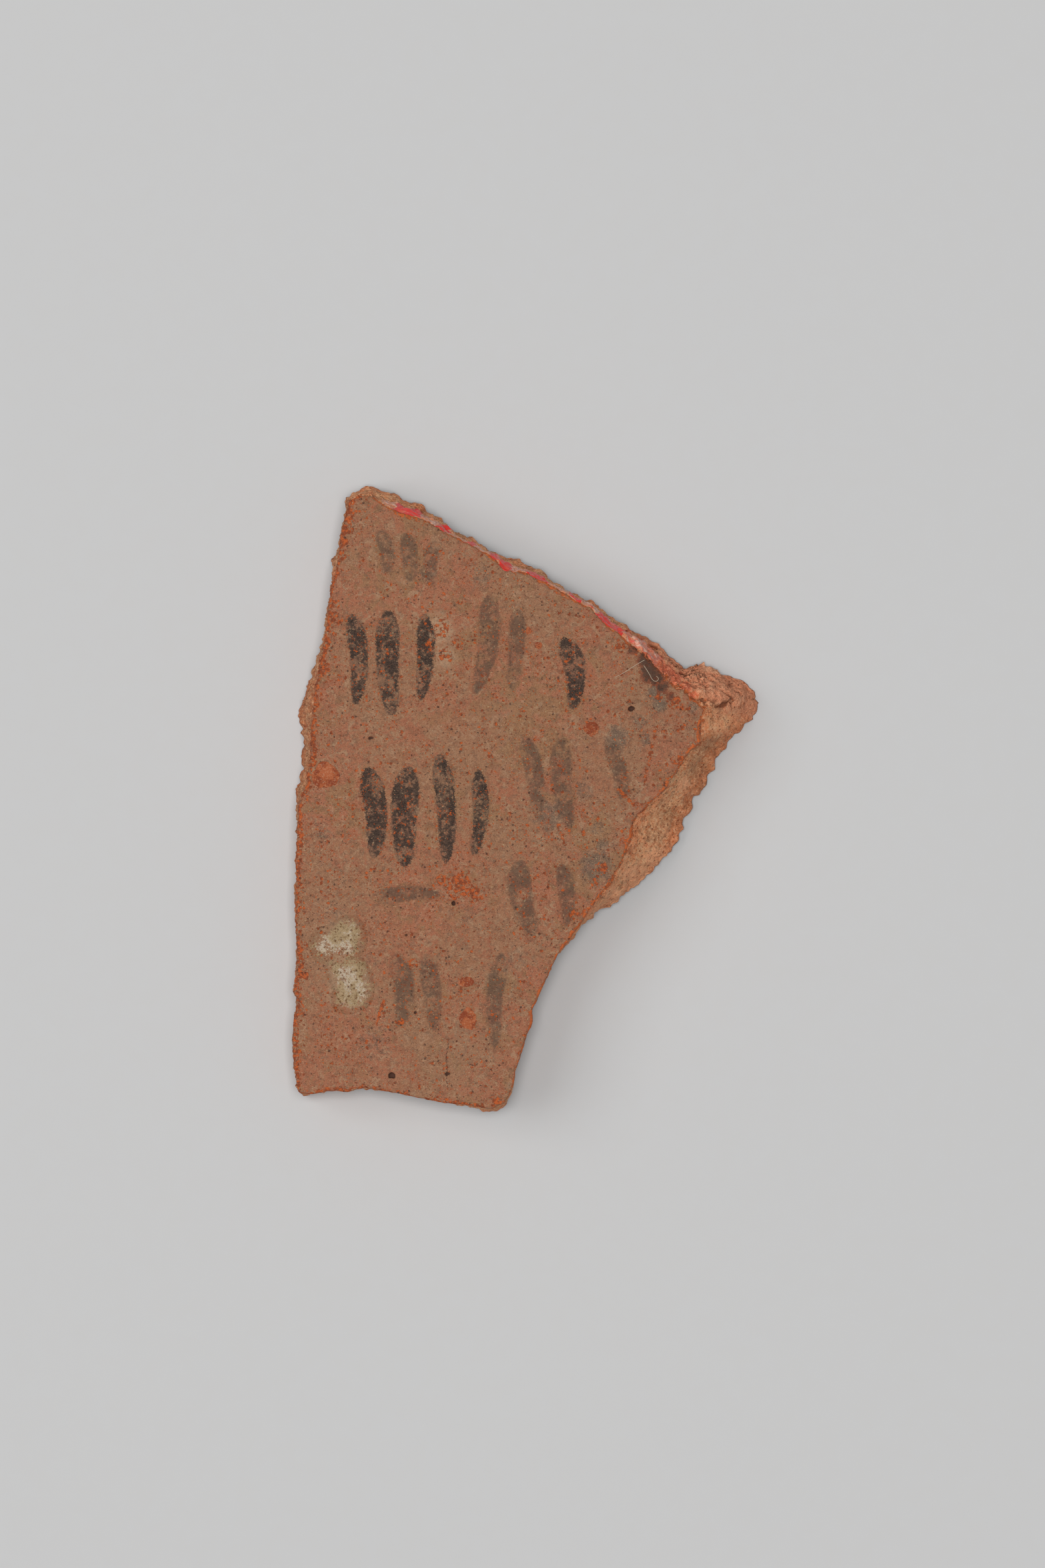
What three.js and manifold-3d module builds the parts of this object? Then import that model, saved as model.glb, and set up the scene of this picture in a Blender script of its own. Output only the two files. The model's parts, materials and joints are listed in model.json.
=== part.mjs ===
// A small ostracon: a sherd from the wall of a wheel-thrown pot, marked in ink with tally strokes.
// The pot's axis runs along Y, the writing face looks up along +Z, and the sherd lies on its rim of break.

import * as THREE from 'three';
import { mergeVertices } from 'three/addons/utils/BufferGeometryUtils.js';
import Module from 'manifold-3d';

const wasm = await Module();
wasm.setup();

// Size of the sherd and of the pot that it comes from, in millimetres
const sherdWidth = 56.3;
const sherdHeight = 75.4;
const potRadius = 160;
const facetTurn = THREE.MathUtils.degToRad(2.2);

// Layers of the wall, from the writing face to the inside of the pot
const outerSkinThickness = 0.5;
const outerMarginThickness = 1.5;
const coreThickness = 4.3;
const innerMarginThickness = 1.3;
const innerSkinThickness = 0.4;
const bondGap = 0.1;

// Things on and in the wall
const inkThickness = 0.08;
const strokeLength = 11;
const strokeWidth = 2.8;
const grainSize = 3;
const grainClearance = 0.1;
const pitSize = 0.9;
const crustThickness = 0.3;
const varnishThickness = 0.12;
const varnishDrop = 2.1;
const paintThickness = 0.12;
const paintDrop = 1.1;
const paintStart = 0.3;
const hairThickness = 0.12;

// Allowance by which every cutting shape runs past what it cuts
const overrun = 2;

// Colours of fired clay, ink and deposits
const skinColour = 0x916a4f;
const marginColour = 0xa86c42;
const coreColour = 0xa07a5c;
const grainColour = 0x96533a;
const darkInkColour = 0x4a372e;
const fadedInkColour = 0x745240;
const crustColour = 0xb9ad8c;
const varnishColour = 0xc9a48c;
const paintColour = 0xc8383a;
const hairColour = 0xd8d2c4;

// Edge of the sherd, anticlockwise from its top left corner, as shares of its width and height:
// where the break meets the writing face, then where it meets the inside of the pot
const edgeShares = [
  [0.124, 0.975, 0.116, 0.979],
  [0.111, 0.951, 0.116, 0.951],
  [0.101, 0.906, 0.105, 0.906],
  [0.097, 0.874, 0.088, 0.873],
  [0.085, 0.845, 0.088, 0.845],
  [0.070, 0.762, 0.072, 0.765],
  [0.064, 0.725, 0.054, 0.720],
  [0.055, 0.696, 0.031, 0.682],
  [0.048, 0.654, 0.014, 0.644],
  [0.041, 0.610, 0.020, 0.612],
  [0.037, 0.559, 0.021, 0.561],
  [0.030, 0.523, 0.013, 0.529],
  [0.014, 0.490, 0.009, 0.494],
  [0.010, 0.439, 0.014, 0.439],
  [0.006, 0.340, 0.014, 0.340],
  [0.009, 0.243, 0.017, 0.243],
  [0.003, 0.190, 0.013, 0.193],
  [0.011, 0.176, 0.020, 0.176],
  [0.006, 0.168, 0.016, 0.168],
  [0.000, 0.110, 0.011, 0.112],
  [0.006, 0.057, 0.016, 0.060],
  [0.014, 0.031, 0.024, 0.023],
  [0.040, 0.029, 0.043, 0.030],
  [0.088, 0.035, 0.088, 0.039],
  [0.119, 0.032, 0.116, 0.037],
  [0.152, 0.041, 0.152, 0.038],
  [0.222, 0.031, 0.222, 0.034],
  [0.332, 0.015, 0.332, 0.014],
  [0.382, 0.011, 0.385, 0.007],
  [0.426, 0.006, 0.423, 0.000],
  [0.453, 0.015, 0.453, 0.005],
  [0.467, 0.033, 0.462, 0.030],
  [0.479, 0.070, 0.469, 0.071],
  [0.516, 0.150, 0.506, 0.147],
  [0.511, 0.160, 0.501, 0.161],
  [0.534, 0.203, 0.526, 0.203],
  [0.565, 0.249, 0.560, 0.247],
  [0.587, 0.271, 0.598, 0.280],
  [0.615, 0.302, 0.636, 0.313],
  [0.646, 0.338, 0.696, 0.338],
  [0.676, 0.367, 0.744, 0.365],
  [0.703, 0.404, 0.794, 0.401],
  [0.720, 0.438, 0.818, 0.428],
  [0.724, 0.467, 0.842, 0.466],
  [0.753, 0.488, 0.859, 0.501],
  [0.783, 0.506, 0.882, 0.519],
  [0.815, 0.538, 0.905, 0.559],
  [0.842, 0.571, 0.922, 0.586],
  [0.869, 0.589, 0.964, 0.615],
  [0.866, 0.608, 0.989, 0.627],
  [0.868, 0.622, 1.000, 0.654],
  [0.862, 0.637, 0.982, 0.681],
  [0.838, 0.650, 0.920, 0.700],
  [0.807, 0.669, 0.874, 0.709],
  [0.791, 0.690, 0.837, 0.708],
  [0.750, 0.720, 0.795, 0.737],
  [0.710, 0.750, 0.744, 0.762],
  [0.663, 0.777, 0.683, 0.789],
  [0.634, 0.799, 0.649, 0.808],
  [0.582, 0.824, 0.588, 0.832],
  [0.543, 0.842, 0.544, 0.848],
  [0.523, 0.848, 0.538, 0.861],
  [0.507, 0.854, 0.514, 0.866],
  [0.453, 0.864, 0.472, 0.880],
  [0.413, 0.890, 0.425, 0.895],
  [0.372, 0.907, 0.382, 0.914],
  [0.338, 0.918, 0.349, 0.925],
  [0.288, 0.938, 0.314, 0.949],
  [0.243, 0.949, 0.267, 0.970],
  [0.199, 0.962, 0.216, 0.984],
  [0.170, 0.978, 0.169, 1.000],
  [0.146, 0.982, 0.141, 0.990],
];

// Temper grains in the writing face: place as shares of the sherd, then width, height and depth as shares of
// the largest grain's size
const grains = [
  { name: 'grog_grain_left', placeShare: [0.072, 0.537], sizeShares: [1, 0.97, 0.4] },
  { name: 'grog_grain_lower', placeShare: [0.374, 0.150], sizeShares: [0.67, 0.87, 0.33] },
  { name: 'grog_grain_middle', placeShare: [0.372, 0.208], sizeShares: [0.6, 0.4, 0.27] },
  { name: 'grog_grain_right', placeShare: [0.639, 0.611], sizeShares: [0.6, 0.6, 0.3] },
  { name: 'grog_grain_upper', placeShare: [0.527, 0.744], sizeShares: [0.3, 0.27, 0.2] },
  { name: 'grog_grain_top', placeShare: [0.504, 0.767], sizeShares: [0.23, 0.3, 0.17] },
];

// Pits where temper fell out or burnt out, with their sizes as shares of the largest pit's size
const pits = [
  { placeShare: [0.724, 0.644], sizeShares: [1, 0.67, 1.2] },
  { placeShare: [0.213, 0.059], sizeShares: [1, 0.9, 1.3] },
  { placeShare: [0.345, 0.333], sizeShares: [0.55, 0.55, 0.8] },
  { placeShare: [0.169, 0.596], sizeShares: [0.8, 0.45, 0.8] },
];

// Tallies of pen strokes: the middle of the first stroke as a share of the sherd, then for each stroke its
// offset as shares of the pen's stroke width and length, and its own length, width, bow and turn as shares
const tallies = [
  {
    name: 'tally_1',
    placeShare: [0.195, 0.893],
    strokes: [
      { offsetShare: [0, 0], lengthShare: 0.5, widthShare: 0.75, bowShare: 0.2, turnShare: 0.1, faded: true },
      { offsetShare: [1.05, -0.06], lengthShare: 0.55, widthShare: 0.8, bowShare: 0.1, turnShare: 0.06, faded: true },
      { offsetShare: [2.15, -0.12], lengthShare: 0.5, widthShare: 0.7, bowShare: -0.2, turnShare: -0.04, faded: true },
    ],
  },
  {
    name: 'tally_2',
    placeShare: [0.132, 0.722],
    strokes: [
      { offsetShare: [0, 0], lengthShare: 1, widthShare: 0.9, bowShare: 0.25, turnShare: 0.03, faded: false },
      { offsetShare: [1.55, -0.04], lengthShare: 1.15, widthShare: 1.1, bowShare: -0.1, turnShare: 0.02, faded: false },
      { offsetShare: [2.95, 0.02], lengthShare: 0.95, widthShare: 0.85, bowShare: 0.15, turnShare: -0.03, faded: false },
    ],
  },
  {
    name: 'tally_3',
    placeShare: [0.405, 0.745],
    strokes: [
      { offsetShare: [0, 0], lengthShare: 1.1, widthShare: 1, bowShare: 0.3, turnShare: -0.08, faded: true },
      { offsetShare: [1.4, -0.05], lengthShare: 0.9, widthShare: 0.8, bowShare: 0.1, turnShare: -0.05, faded: true },
    ],
  },
  {
    name: 'tally_4',
    placeShare: [0.590, 0.700],
    strokes: [
      { offsetShare: [0, 0], lengthShare: 0.8, widthShare: 1, bowShare: 0.3, turnShare: 0.08, faded: false },
    ],
  },
  {
    name: 'tally_5',
    placeShare: [0.168, 0.478],
    strokes: [
      { offsetShare: [0, 0], lengthShare: 1, widthShare: 1.1, bowShare: 0.2, turnShare: 0.05, faded: false },
      { offsetShare: [1.55, -0.05], lengthShare: 1.1, widthShare: 1.25, bowShare: -0.1, turnShare: -0.02, faded: false },
      { offsetShare: [3.1, 0.04], lengthShare: 1.2, widthShare: 0.95, bowShare: 0.15, turnShare: 0.04, faded: false },
      { offsetShare: [4.5, 0], lengthShare: 0.95, widthShare: 0.75, bowShare: 0.3, turnShare: -0.03, faded: false },
    ],
  },
  {
    name: 'tally_6',
    placeShare: [0.510, 0.535],
    strokes: [
      { offsetShare: [0, 0], lengthShare: 0.9, widthShare: 0.9, bowShare: 0.2, turnShare: 0.1, faded: true },
      { offsetShare: [1.5, -0.07], lengthShare: 1, widthShare: 1, bowShare: -0.2, turnShare: 0.06, faded: true },
    ],
  },
  {
    name: 'tally_7',
    placeShare: [0.690, 0.545],
    strokes: [
      { offsetShare: [0, 0], lengthShare: 0.7, widthShare: 0.8, bowShare: 0.2, turnShare: 0.15, faded: true },
    ],
  },
  {
    name: 'tally_8',
    placeShare: [0.245, 0.345],
    strokes: [
      { offsetShare: [0, 0], lengthShare: 0.75, widthShare: 0.75, bowShare: 0.15, turnShare: 1.04, faded: true },
    ],
  },
  {
    name: 'tally_9',
    placeShare: [0.500, 0.342],
    strokes: [
      { offsetShare: [0, 0], lengthShare: 0.85, widthShare: 1.1, bowShare: -0.2, turnShare: 0.12, faded: true },
      { offsetShare: [1.6, 0.03], lengthShare: 0.7, widthShare: 0.8, bowShare: 0.2, turnShare: 0.06, faded: true },
    ],
  },
  {
    name: 'tally_10',
    placeShare: [0.225, 0.195],
    strokes: [
      { offsetShare: [0, 0], lengthShare: 0.8, widthShare: 1, bowShare: 0.3, turnShare: 0.04, faded: true },
      { offsetShare: [1.4, -0.03], lengthShare: 0.85, widthShare: 0.9, bowShare: 0.1, turnShare: 0.07, faded: true },
    ],
  },
  {
    name: 'tally_11',
    placeShare: [0.440, 0.178],
    strokes: [
      { offsetShare: [0, 0], lengthShare: 1.05, widthShare: 0.85, bowShare: -0.2, turnShare: -0.04, faded: true },
    ],
  },
];

// Shape of one stroke of the pen: half width, as a share of its width, from its head to its tail
const strokeHalfWidthShares = [0.16, 0.4, 0.5, 0.47, 0.44, 0.42, 0.38, 0.32, 0.14];

// Lime crust on the lower left of the writing face, its outlines as shares of the sherd
const crusts = [
  {
    name: 'lime_crust_upper',
    outlineShares: [
      [0.045, 0.266], [0.058, 0.248], [0.080, 0.246], [0.100, 0.252], [0.128, 0.247],
      [0.143, 0.262], [0.149, 0.280], [0.138, 0.302], [0.116, 0.306], [0.084, 0.290], [0.056, 0.284],
    ],
  },
  {
    name: 'lime_crust_lower',
    outlineShares: [
      [0.080, 0.232], [0.094, 0.208], [0.100, 0.188], [0.094, 0.172], [0.121, 0.165],
      [0.156, 0.176], [0.164, 0.196], [0.156, 0.222], [0.142, 0.240], [0.104, 0.240],
    ],
  },
];

// Clear varnish along the top break, and dashes of paint on it, each from and to a share of the width
const varnishShare = [0.185, 0.765];
const paintShares = [
  [0.205, 0.272],
  [0.296, 0.338],
  [0.362, 0.392],
  [0.412, 0.470],
  [0.492, 0.556],
  [0.578, 0.618],
  [0.640, 0.700],
];

// Two loose hairs on the writing face, their points as shares of the sherd
const hairs = [
  { name: 'hair_long', pathShares: [[0.686, 0.693], [0.706, 0.702], [0.726, 0.710], [0.748, 0.718]] },
  { name: 'hair_curled', pathShares: [[0.750, 0.712], [0.761, 0.701], [0.774, 0.687], [0.786, 0.690]] },
];

// Radii of the pot's wall, worked out from the layers
const wallLayers = [
  { name: 'outer_skin', thickness: outerSkinThickness, colour: skinColour, roughness: 0.85 },
  { name: 'outer_margin', thickness: outerMarginThickness, colour: marginColour, roughness: 0.95 },
  { name: 'wall_core', thickness: coreThickness, colour: coreColour, roughness: 0.95 },
  { name: 'inner_margin', thickness: innerMarginThickness, colour: marginColour, roughness: 0.95 },
  { name: 'inner_skin', thickness: innerSkinThickness, colour: skinColour, roughness: 0.9 },
];
const bondGaps = (wallLayers.length - 1) * bondGap;
const wallThickness = wallLayers.reduce((sum, layer) => sum + layer.thickness, bondGaps);
const innerRadius = potRadius - wallThickness;

// Height of a round wall above or below its crown line, at a distance across the sherd
function roundHeight(radius, x) {
  return Math.sqrt(radius ** 2 - x ** 2) - potRadius;
}

// A place on the sherd, with X and Y from its middle
function place([acrossShare, upShare]) {
  return new THREE.Vector2((acrossShare - 1 / 2) * sherdWidth, (upShare - 1 / 2) * sherdHeight);
}

function toSolid(geometry) {
  const bare = geometry.clone();
  bare.deleteAttribute('normal');
  bare.deleteAttribute('uv');
  const merged = mergeVertices(bare);
  return new wasm.Manifold(new wasm.Mesh({
    numProp: 3,
    vertProperties: new Float32Array(merged.attributes.position.array),
    triVerts: new Uint32Array(merged.index.array),
  }));
}

function toGeometry(solid) {
  const { vertProperties, triVerts } = solid.getMesh();
  const geometry = new THREE.BufferGeometry();
  geometry.setAttribute('position', new THREE.BufferAttribute(vertProperties, 3));
  geometry.setIndex(new THREE.BufferAttribute(triVerts, 1));
  geometry.computeVertexNormals();
  return geometry;
}

// A faceted shell of the pot's wall between two radii, with one flat facet along the crown
function shell(outer, inner) {
  const facetCount = 2 * Math.ceil(sherdWidth / potRadius / facetTurn) + 1;
  const turns = Array.from({ length: facetCount + 1 }, (_, i) => (i - facetCount / 2) * facetTurn);
  const onArc = (radius, turn) => new THREE.Vector2(radius * Math.sin(turn), radius * Math.cos(turn) - potRadius);
  const outline = new THREE.Shape([
    ...turns.map((turn) => onArc(outer, turn)),
    ...turns.toReversed().map((turn) => onArc(inner, turn)),
  ]);
  const length = sherdHeight + 2 * overrun;
  const geometry = new THREE.ExtrudeGeometry(outline, { depth: length, bevelEnabled: false });
  geometry.rotateX(Math.PI / 2);
  geometry.translate(0, length / 2, 0);
  return toSolid(geometry);
}

// The break all round the sherd: straight lines through the two edges, prolonged past both faces,
// and moved outwards by a growth where something lies on the break
function breakRing(level, growth) {
  const ring = edgeShares.map(([frontAcross, frontUp, backAcross, backUp]) => {
    const front = place([frontAcross, frontUp]);
    const back = place([backAcross, backUp]);
    const frontLevel = roundHeight(potRadius, front.x);
    const backLevel = roundHeight(innerRadius, back.x);
    return front.lerp(back, (level - frontLevel) / (backLevel - frontLevel));
  });
  return ring.map((point, i) => {
    const before = ring.at(i - 1);
    const after = ring[(i + 1) % ring.length];
    const along = after.clone().sub(before).normalize();
    return new THREE.Vector2(point.x + along.y * growth, point.y - along.x * growth);
  });
}

function breakSolid(growth) {
  const top = overrun;
  const bottom = roundHeight(innerRadius, sherdWidth / 2) - overrun;
  const topRing = breakRing(top, growth);
  const bottomRing = breakRing(bottom, growth);
  const count = edgeShares.length;
  const positions = [
    ...topRing.flatMap((point) => [point.x, point.y, top]),
    ...bottomRing.flatMap((point) => [point.x, point.y, bottom]),
  ];
  const index = [
    ...THREE.ShapeUtils.triangulateShape(topRing, []).flat(),
    ...THREE.ShapeUtils.triangulateShape(bottomRing, []).flatMap(([a, b, c]) => [count + a, count + c, count + b]),
  ];
  for (let i = 0; i < count; i += 1) {
    const next = (i + 1) % count;
    index.push(i, count + i, next);
    index.push(next, count + i, count + next);
  }
  const geometry = new THREE.BufferGeometry();
  geometry.setAttribute('position', new THREE.Float32BufferAttribute(positions, 3));
  geometry.setIndex(index);
  return toSolid(geometry);
}

// An upright prism over an outline, tall enough to cut right through the sherd
function prism(points) {
  const height = 2 * (wallThickness + overrun);
  const geometry = new THREE.ExtrudeGeometry(new THREE.Shape(points), { depth: 2 * height, bevelEnabled: false });
  geometry.translate(0, 0, -height);
  return toSolid(geometry);
}

// A rounded lump whose middle lies on the writing face, made larger all round by a clearance
function lump({ placeShare, sizeShares }, size, clearance) {
  const middle = place(placeShare);
  const [width, height, depth] = sizeShares.map((share) => share * size);
  const geometry = new THREE.IcosahedronGeometry(1, 2);
  geometry.scale(width / 2 + clearance, height / 2 + clearance, depth + clearance);
  geometry.translate(middle.x, middle.y, roundHeight(potRadius, middle.x));
  return toSolid(geometry);
}

// Outline of one stroke of the pen: a bowed middle line with the pen's width on both sides
function strokeOutline(start, { offsetShare, lengthShare, widthShare, bowShare, turnShare }) {
  const [acrossShare, upShare] = offsetShare;
  const middle = new THREE.Vector2(acrossShare * strokeWidth, upShare * strokeLength).add(start);
  const length = lengthShare * strokeLength;
  const width = widthShare * strokeWidth;
  const turn = turnShare * Math.PI / 2;
  const last = strokeHalfWidthShares.length - 1;
  const side = (sign) => strokeHalfWidthShares.map((halfShare, i) => {
    const along = i / last;
    const across = bowShare * width * Math.sin(Math.PI * along) + sign * halfShare * width;
    return new THREE.Vector2(across, (1 / 2 - along) * length)
      .rotateAround(new THREE.Vector2(), turn)
      .add(middle);
  });
  return [...side(-1), ...side(1).toReversed()];
}

// The wall, layer by layer, with seats for the grains and with the open pits
const group = new THREE.Group();

function addPiece(name, solid, colour, roughness) {
  const material = new THREE.MeshStandardMaterial({ color: colour, roughness, metalness: 0 });
  const mesh = new THREE.Mesh(toGeometry(solid), material);
  mesh.name = name;
  group.add(mesh);
}

const sherd = breakSolid(0);
const hollows = [
  ...grains.map((grain) => lump(grain, grainSize, grainClearance)),
  ...pits.map((pit) => lump(pit, pitSize, 0)),
];
let radius = potRadius;
for (const layer of wallLayers) {
  const whole = sherd.intersect(shell(radius, radius - layer.thickness));
  const solid = hollows.reduce((left, hollow) => left.subtract(hollow), whole);
  addPiece(layer.name, solid, layer.colour, layer.roughness);
  radius -= layer.thickness + bondGap;
}

// Grains, flush with the writing face
const insideOfWall = shell(potRadius, innerRadius);
for (const grain of grains) {
  addPiece(grain.name, lump(grain, grainSize, 0).intersect(insideOfWall), grainColour, 0.9);
}

// Ink, a thin film on the writing face
const inkUnderside = potRadius + bondGap;
const inkFilm = shell(inkUnderside + inkThickness, inkUnderside);
for (const tally of tallies) {
  const start = place(tally.placeShare);
  tally.strokes.forEach((stroke, i) => {
    const colour = stroke.faded ? fadedInkColour : darkInkColour;
    const film = prism(strokeOutline(start, stroke)).intersect(inkFilm);
    addPiece(`${tally.name}_stroke_${i + 1}`, film, colour, 0.9);
  });
}

// Lime crust on the writing face
const crustFilm = shell(inkUnderside + crustThickness, inkUnderside);
for (const crust of crusts) {
  addPiece(crust.name, prism(crust.outlineShares.map(place)).intersect(crustFilm), crustColour, 1);
}

// Films that lie on the top break, between two distances from it and two depths under the writing face
function breakFilm([startShare, endShare], inner, outer, depth, drop) {
  const [start, end] = [startShare, endShare].map((share) => place([share, 1]));
  const reach = sherdHeight / 2 + overrun;
  const band = prism([
    new THREE.Vector2(start.x, 0),
    new THREE.Vector2(end.x, 0),
    new THREE.Vector2(end.x, reach),
    new THREE.Vector2(start.x, reach),
  ]);
  return breakSolid(outer)
    .subtract(breakSolid(inner))
    .intersect(shell(potRadius - depth, potRadius - depth - drop))
    .intersect(band);
}

const varnishSeat = bondGap;
const varnishFace = varnishSeat + varnishThickness;
addPiece('varnish_film', breakFilm(varnishShare, varnishSeat, varnishFace, 0, varnishDrop), varnishColour, 0.35);

const paintSeat = varnishFace + bondGap;
const paintFace = paintSeat + paintThickness;
paintShares.forEach((share, i) => {
  const film = breakFilm(share, paintSeat, paintFace, paintStart, paintDrop);
  addPiece(`paint_dash_${i + 1}`, film, paintColour, 0.4);
});

// Hairs that lie on the writing face, clear of it by the bond gap
for (const hair of hairs) {
  const rise = bondGap + hairThickness / 2;
  const path = new THREE.CatmullRomCurve3(hair.pathShares.map((share) => {
    const point = place(share);
    return new THREE.Vector3(point.x, point.y, roundHeight(potRadius, point.x) + rise);
  }));
  const section = new THREE.Shape(new THREE.EllipseCurve(0, 0, hairThickness / 2, hairThickness / 2).getPoints(6));
  const geometry = new THREE.ExtrudeGeometry(section, { steps: 16, extrudePath: path, bevelEnabled: false });
  addPiece(hair.name, toSolid(geometry), hairColour, 0.5);
}

// The sherd stands with its lowest edge at height zero, centred over the origin
const bounds = new THREE.Box3().setFromObject(group);
const centre = bounds.getCenter(new THREE.Vector3());
group.position.set(-centre.x, -centre.y, -bounds.min.z);

export default group;
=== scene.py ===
"""A small ostracon: a sherd of fired clay with tally strokes in ink, dressed around its construction.

Lengths are in metres. The sherd lies with its writing face up: X runs across it, Y along the pot's axis.
"""

import json
import math

import bmesh
import bpy
import numpy as np
from bpy.props import FloatProperty, FloatVectorProperty, IntProperty, PointerProperty
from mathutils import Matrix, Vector, geometry, kdtree


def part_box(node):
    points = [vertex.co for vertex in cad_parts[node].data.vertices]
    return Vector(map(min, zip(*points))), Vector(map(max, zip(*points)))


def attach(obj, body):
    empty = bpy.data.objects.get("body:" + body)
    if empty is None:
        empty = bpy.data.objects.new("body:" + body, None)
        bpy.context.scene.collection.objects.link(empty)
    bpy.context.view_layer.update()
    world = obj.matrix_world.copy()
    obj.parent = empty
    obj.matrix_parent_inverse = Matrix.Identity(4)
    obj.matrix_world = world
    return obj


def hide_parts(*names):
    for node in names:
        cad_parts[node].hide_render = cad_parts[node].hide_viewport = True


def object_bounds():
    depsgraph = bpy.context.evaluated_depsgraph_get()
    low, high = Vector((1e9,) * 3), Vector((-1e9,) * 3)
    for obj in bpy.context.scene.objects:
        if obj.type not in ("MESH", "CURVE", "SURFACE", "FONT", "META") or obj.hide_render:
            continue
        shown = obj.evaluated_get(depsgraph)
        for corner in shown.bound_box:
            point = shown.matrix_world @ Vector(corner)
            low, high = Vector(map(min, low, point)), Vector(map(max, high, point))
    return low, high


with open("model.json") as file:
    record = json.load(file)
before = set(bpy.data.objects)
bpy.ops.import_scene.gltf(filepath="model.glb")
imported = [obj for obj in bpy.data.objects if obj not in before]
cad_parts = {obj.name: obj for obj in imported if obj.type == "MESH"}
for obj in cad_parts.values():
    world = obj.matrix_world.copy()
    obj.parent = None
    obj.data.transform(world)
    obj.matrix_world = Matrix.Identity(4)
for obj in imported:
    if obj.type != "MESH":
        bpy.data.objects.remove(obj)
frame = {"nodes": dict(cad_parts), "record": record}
cad_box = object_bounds()

bl_info = {
    "name": "Ostracon",
    "version": (1, 0, 0),
    "blender": (4, 5, 0),
    "location": "3D View > Sidebar > Ostracon",
    "description": "Dresses a small potsherd with ink tally strokes",
    "category": "Add Mesh",
}

# One pixel of the photograph, and the pixel that lies in the middle of the sherd's box
PIXEL = 0.00008
MIDDLE_PIXEL = (790, 1198)

# Size of the sherd's outline, and how far its middle lies from the origin
OUTLINE_SIZE = (0.0563, 0.0754)
OUTLINE_MIDDLE = (-0.000012, -0.000082)

# Edge of the sherd, anticlockwise from its top left corner, in thousandths of its width and height:
# where the break meets the writing face, then where it meets the inside of the pot
EDGE = [
    (124, 975, 116, 979), (111, 951, 116, 951), (101, 906, 105, 906), (97, 874, 88, 873),
    (85, 845, 88, 845), (70, 762, 72, 765), (64, 725, 54, 720), (55, 696, 31, 682), (48, 654, 14, 644),
    (41, 610, 20, 612), (37, 559, 21, 561), (30, 523, 13, 529), (14, 490, 9, 494), (10, 439, 14, 439),
    (6, 340, 14, 340), (9, 243, 17, 243), (3, 190, 13, 193), (11, 176, 20, 176), (6, 168, 16, 168),
    (0, 110, 11, 112), (6, 57, 16, 60), (14, 31, 24, 23), (40, 29, 43, 30), (88, 35, 88, 39),
    (119, 32, 116, 37), (152, 41, 152, 38), (222, 31, 222, 34), (332, 15, 332, 14), (382, 11, 385, 7),
    (426, 6, 423, 0), (453, 15, 453, 5), (467, 33, 462, 30), (479, 70, 469, 71), (516, 150, 506, 147),
    (511, 160, 501, 161), (534, 203, 526, 203), (565, 249, 560, 247), (587, 271, 598, 280),
    (615, 302, 636, 313), (646, 338, 696, 338), (676, 367, 744, 365), (703, 404, 794, 401),
    (720, 438, 818, 428), (724, 467, 842, 466), (753, 488, 859, 501), (783, 506, 882, 519),
    (815, 538, 905, 559), (842, 571, 922, 586), (869, 589, 964, 615), (866, 608, 989, 627),
    (868, 622, 1000, 654), (862, 637, 982, 681), (838, 650, 920, 700), (807, 669, 874, 709),
    (791, 690, 837, 708), (750, 720, 795, 737), (710, 750, 744, 762), (663, 777, 683, 789),
    (634, 799, 649, 808), (582, 824, 588, 832), (543, 842, 544, 848), (523, 848, 538, 861),
    (507, 854, 514, 866), (453, 864, 472, 880), (413, 890, 425, 895), (372, 907, 382, 914),
    (338, 918, 349, 925), (288, 938, 314, 949), (243, 949, 267, 970), (199, 962, 216, 984),
    (170, 978, 169, 1000), (146, 982, 141, 990),
]

# Places on the writing face where something shows: x and y in photograph pixels, radius in pixels, strength
RUSTY_PLACES = [
    (522, 770, 11, 0.8), (516, 786, 18, 0.95), (510, 808, 14, 0.85), (508, 828, 14, 0.85),
    (503, 850, 9, 0.7), (498, 872, 9, 0.7), (499, 905, 10, 0.7), (501, 930, 13, 0.8), (496, 950, 10, 0.7),
    (492, 968, 9, 0.7), (486, 986, 8, 0.7), (486, 1003, 10, 0.85), (455, 1420, 7, 0.8),
    (453, 1462, 10, 1.0), (455, 1330, 6, 0.6), (690, 1325, 26, 0.8), (716, 1340, 16, 0.75),
    (662, 1322, 12, 0.65), (645, 968, 11, 0.6), (668, 985, 12, 0.6), (662, 944, 18, 0.5),
    (684, 962, 12, 0.55), (690, 902, 6, 0.5), (932, 972, 9, 0.75), (945, 966, 8, 0.7),
    (990, 1044, 8, 0.6), (1012, 1052, 13, 0.75), (1030, 1062, 10, 0.8), (1000, 1100, 8, 0.55),
    (1022, 1092, 9, 0.6), (1015, 1140, 9, 0.7), (1000, 1178, 8, 0.7), (890, 1324, 8, 0.6),
    (862, 1372, 9, 0.7), (905, 1300, 9, 0.6), (935, 1262, 7, 0.6), (985, 1020, 9, 0.8),
    (946, 1052, 7, 0.45), (868, 1130, 7, 0.45), (903, 1232, 9, 0.5), (850, 1248, 6, 0.45),
    (620, 1446, 9, 0.45), (600, 1530, 10, 0.5), (578, 1520, 8, 0.5), (560, 1300, 8, 0.45),
    (476, 1320, 10, 0.5), (700, 1000, 5, 0.5), (706, 1160, 6, 0.5), (720, 1152, 5, 0.5),
    (652, 1648, 8, 0.7), (745, 1652, 10, 0.8), (640, 1122, 7, 0.5), (612, 1140, 6, 0.5),
]
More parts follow.
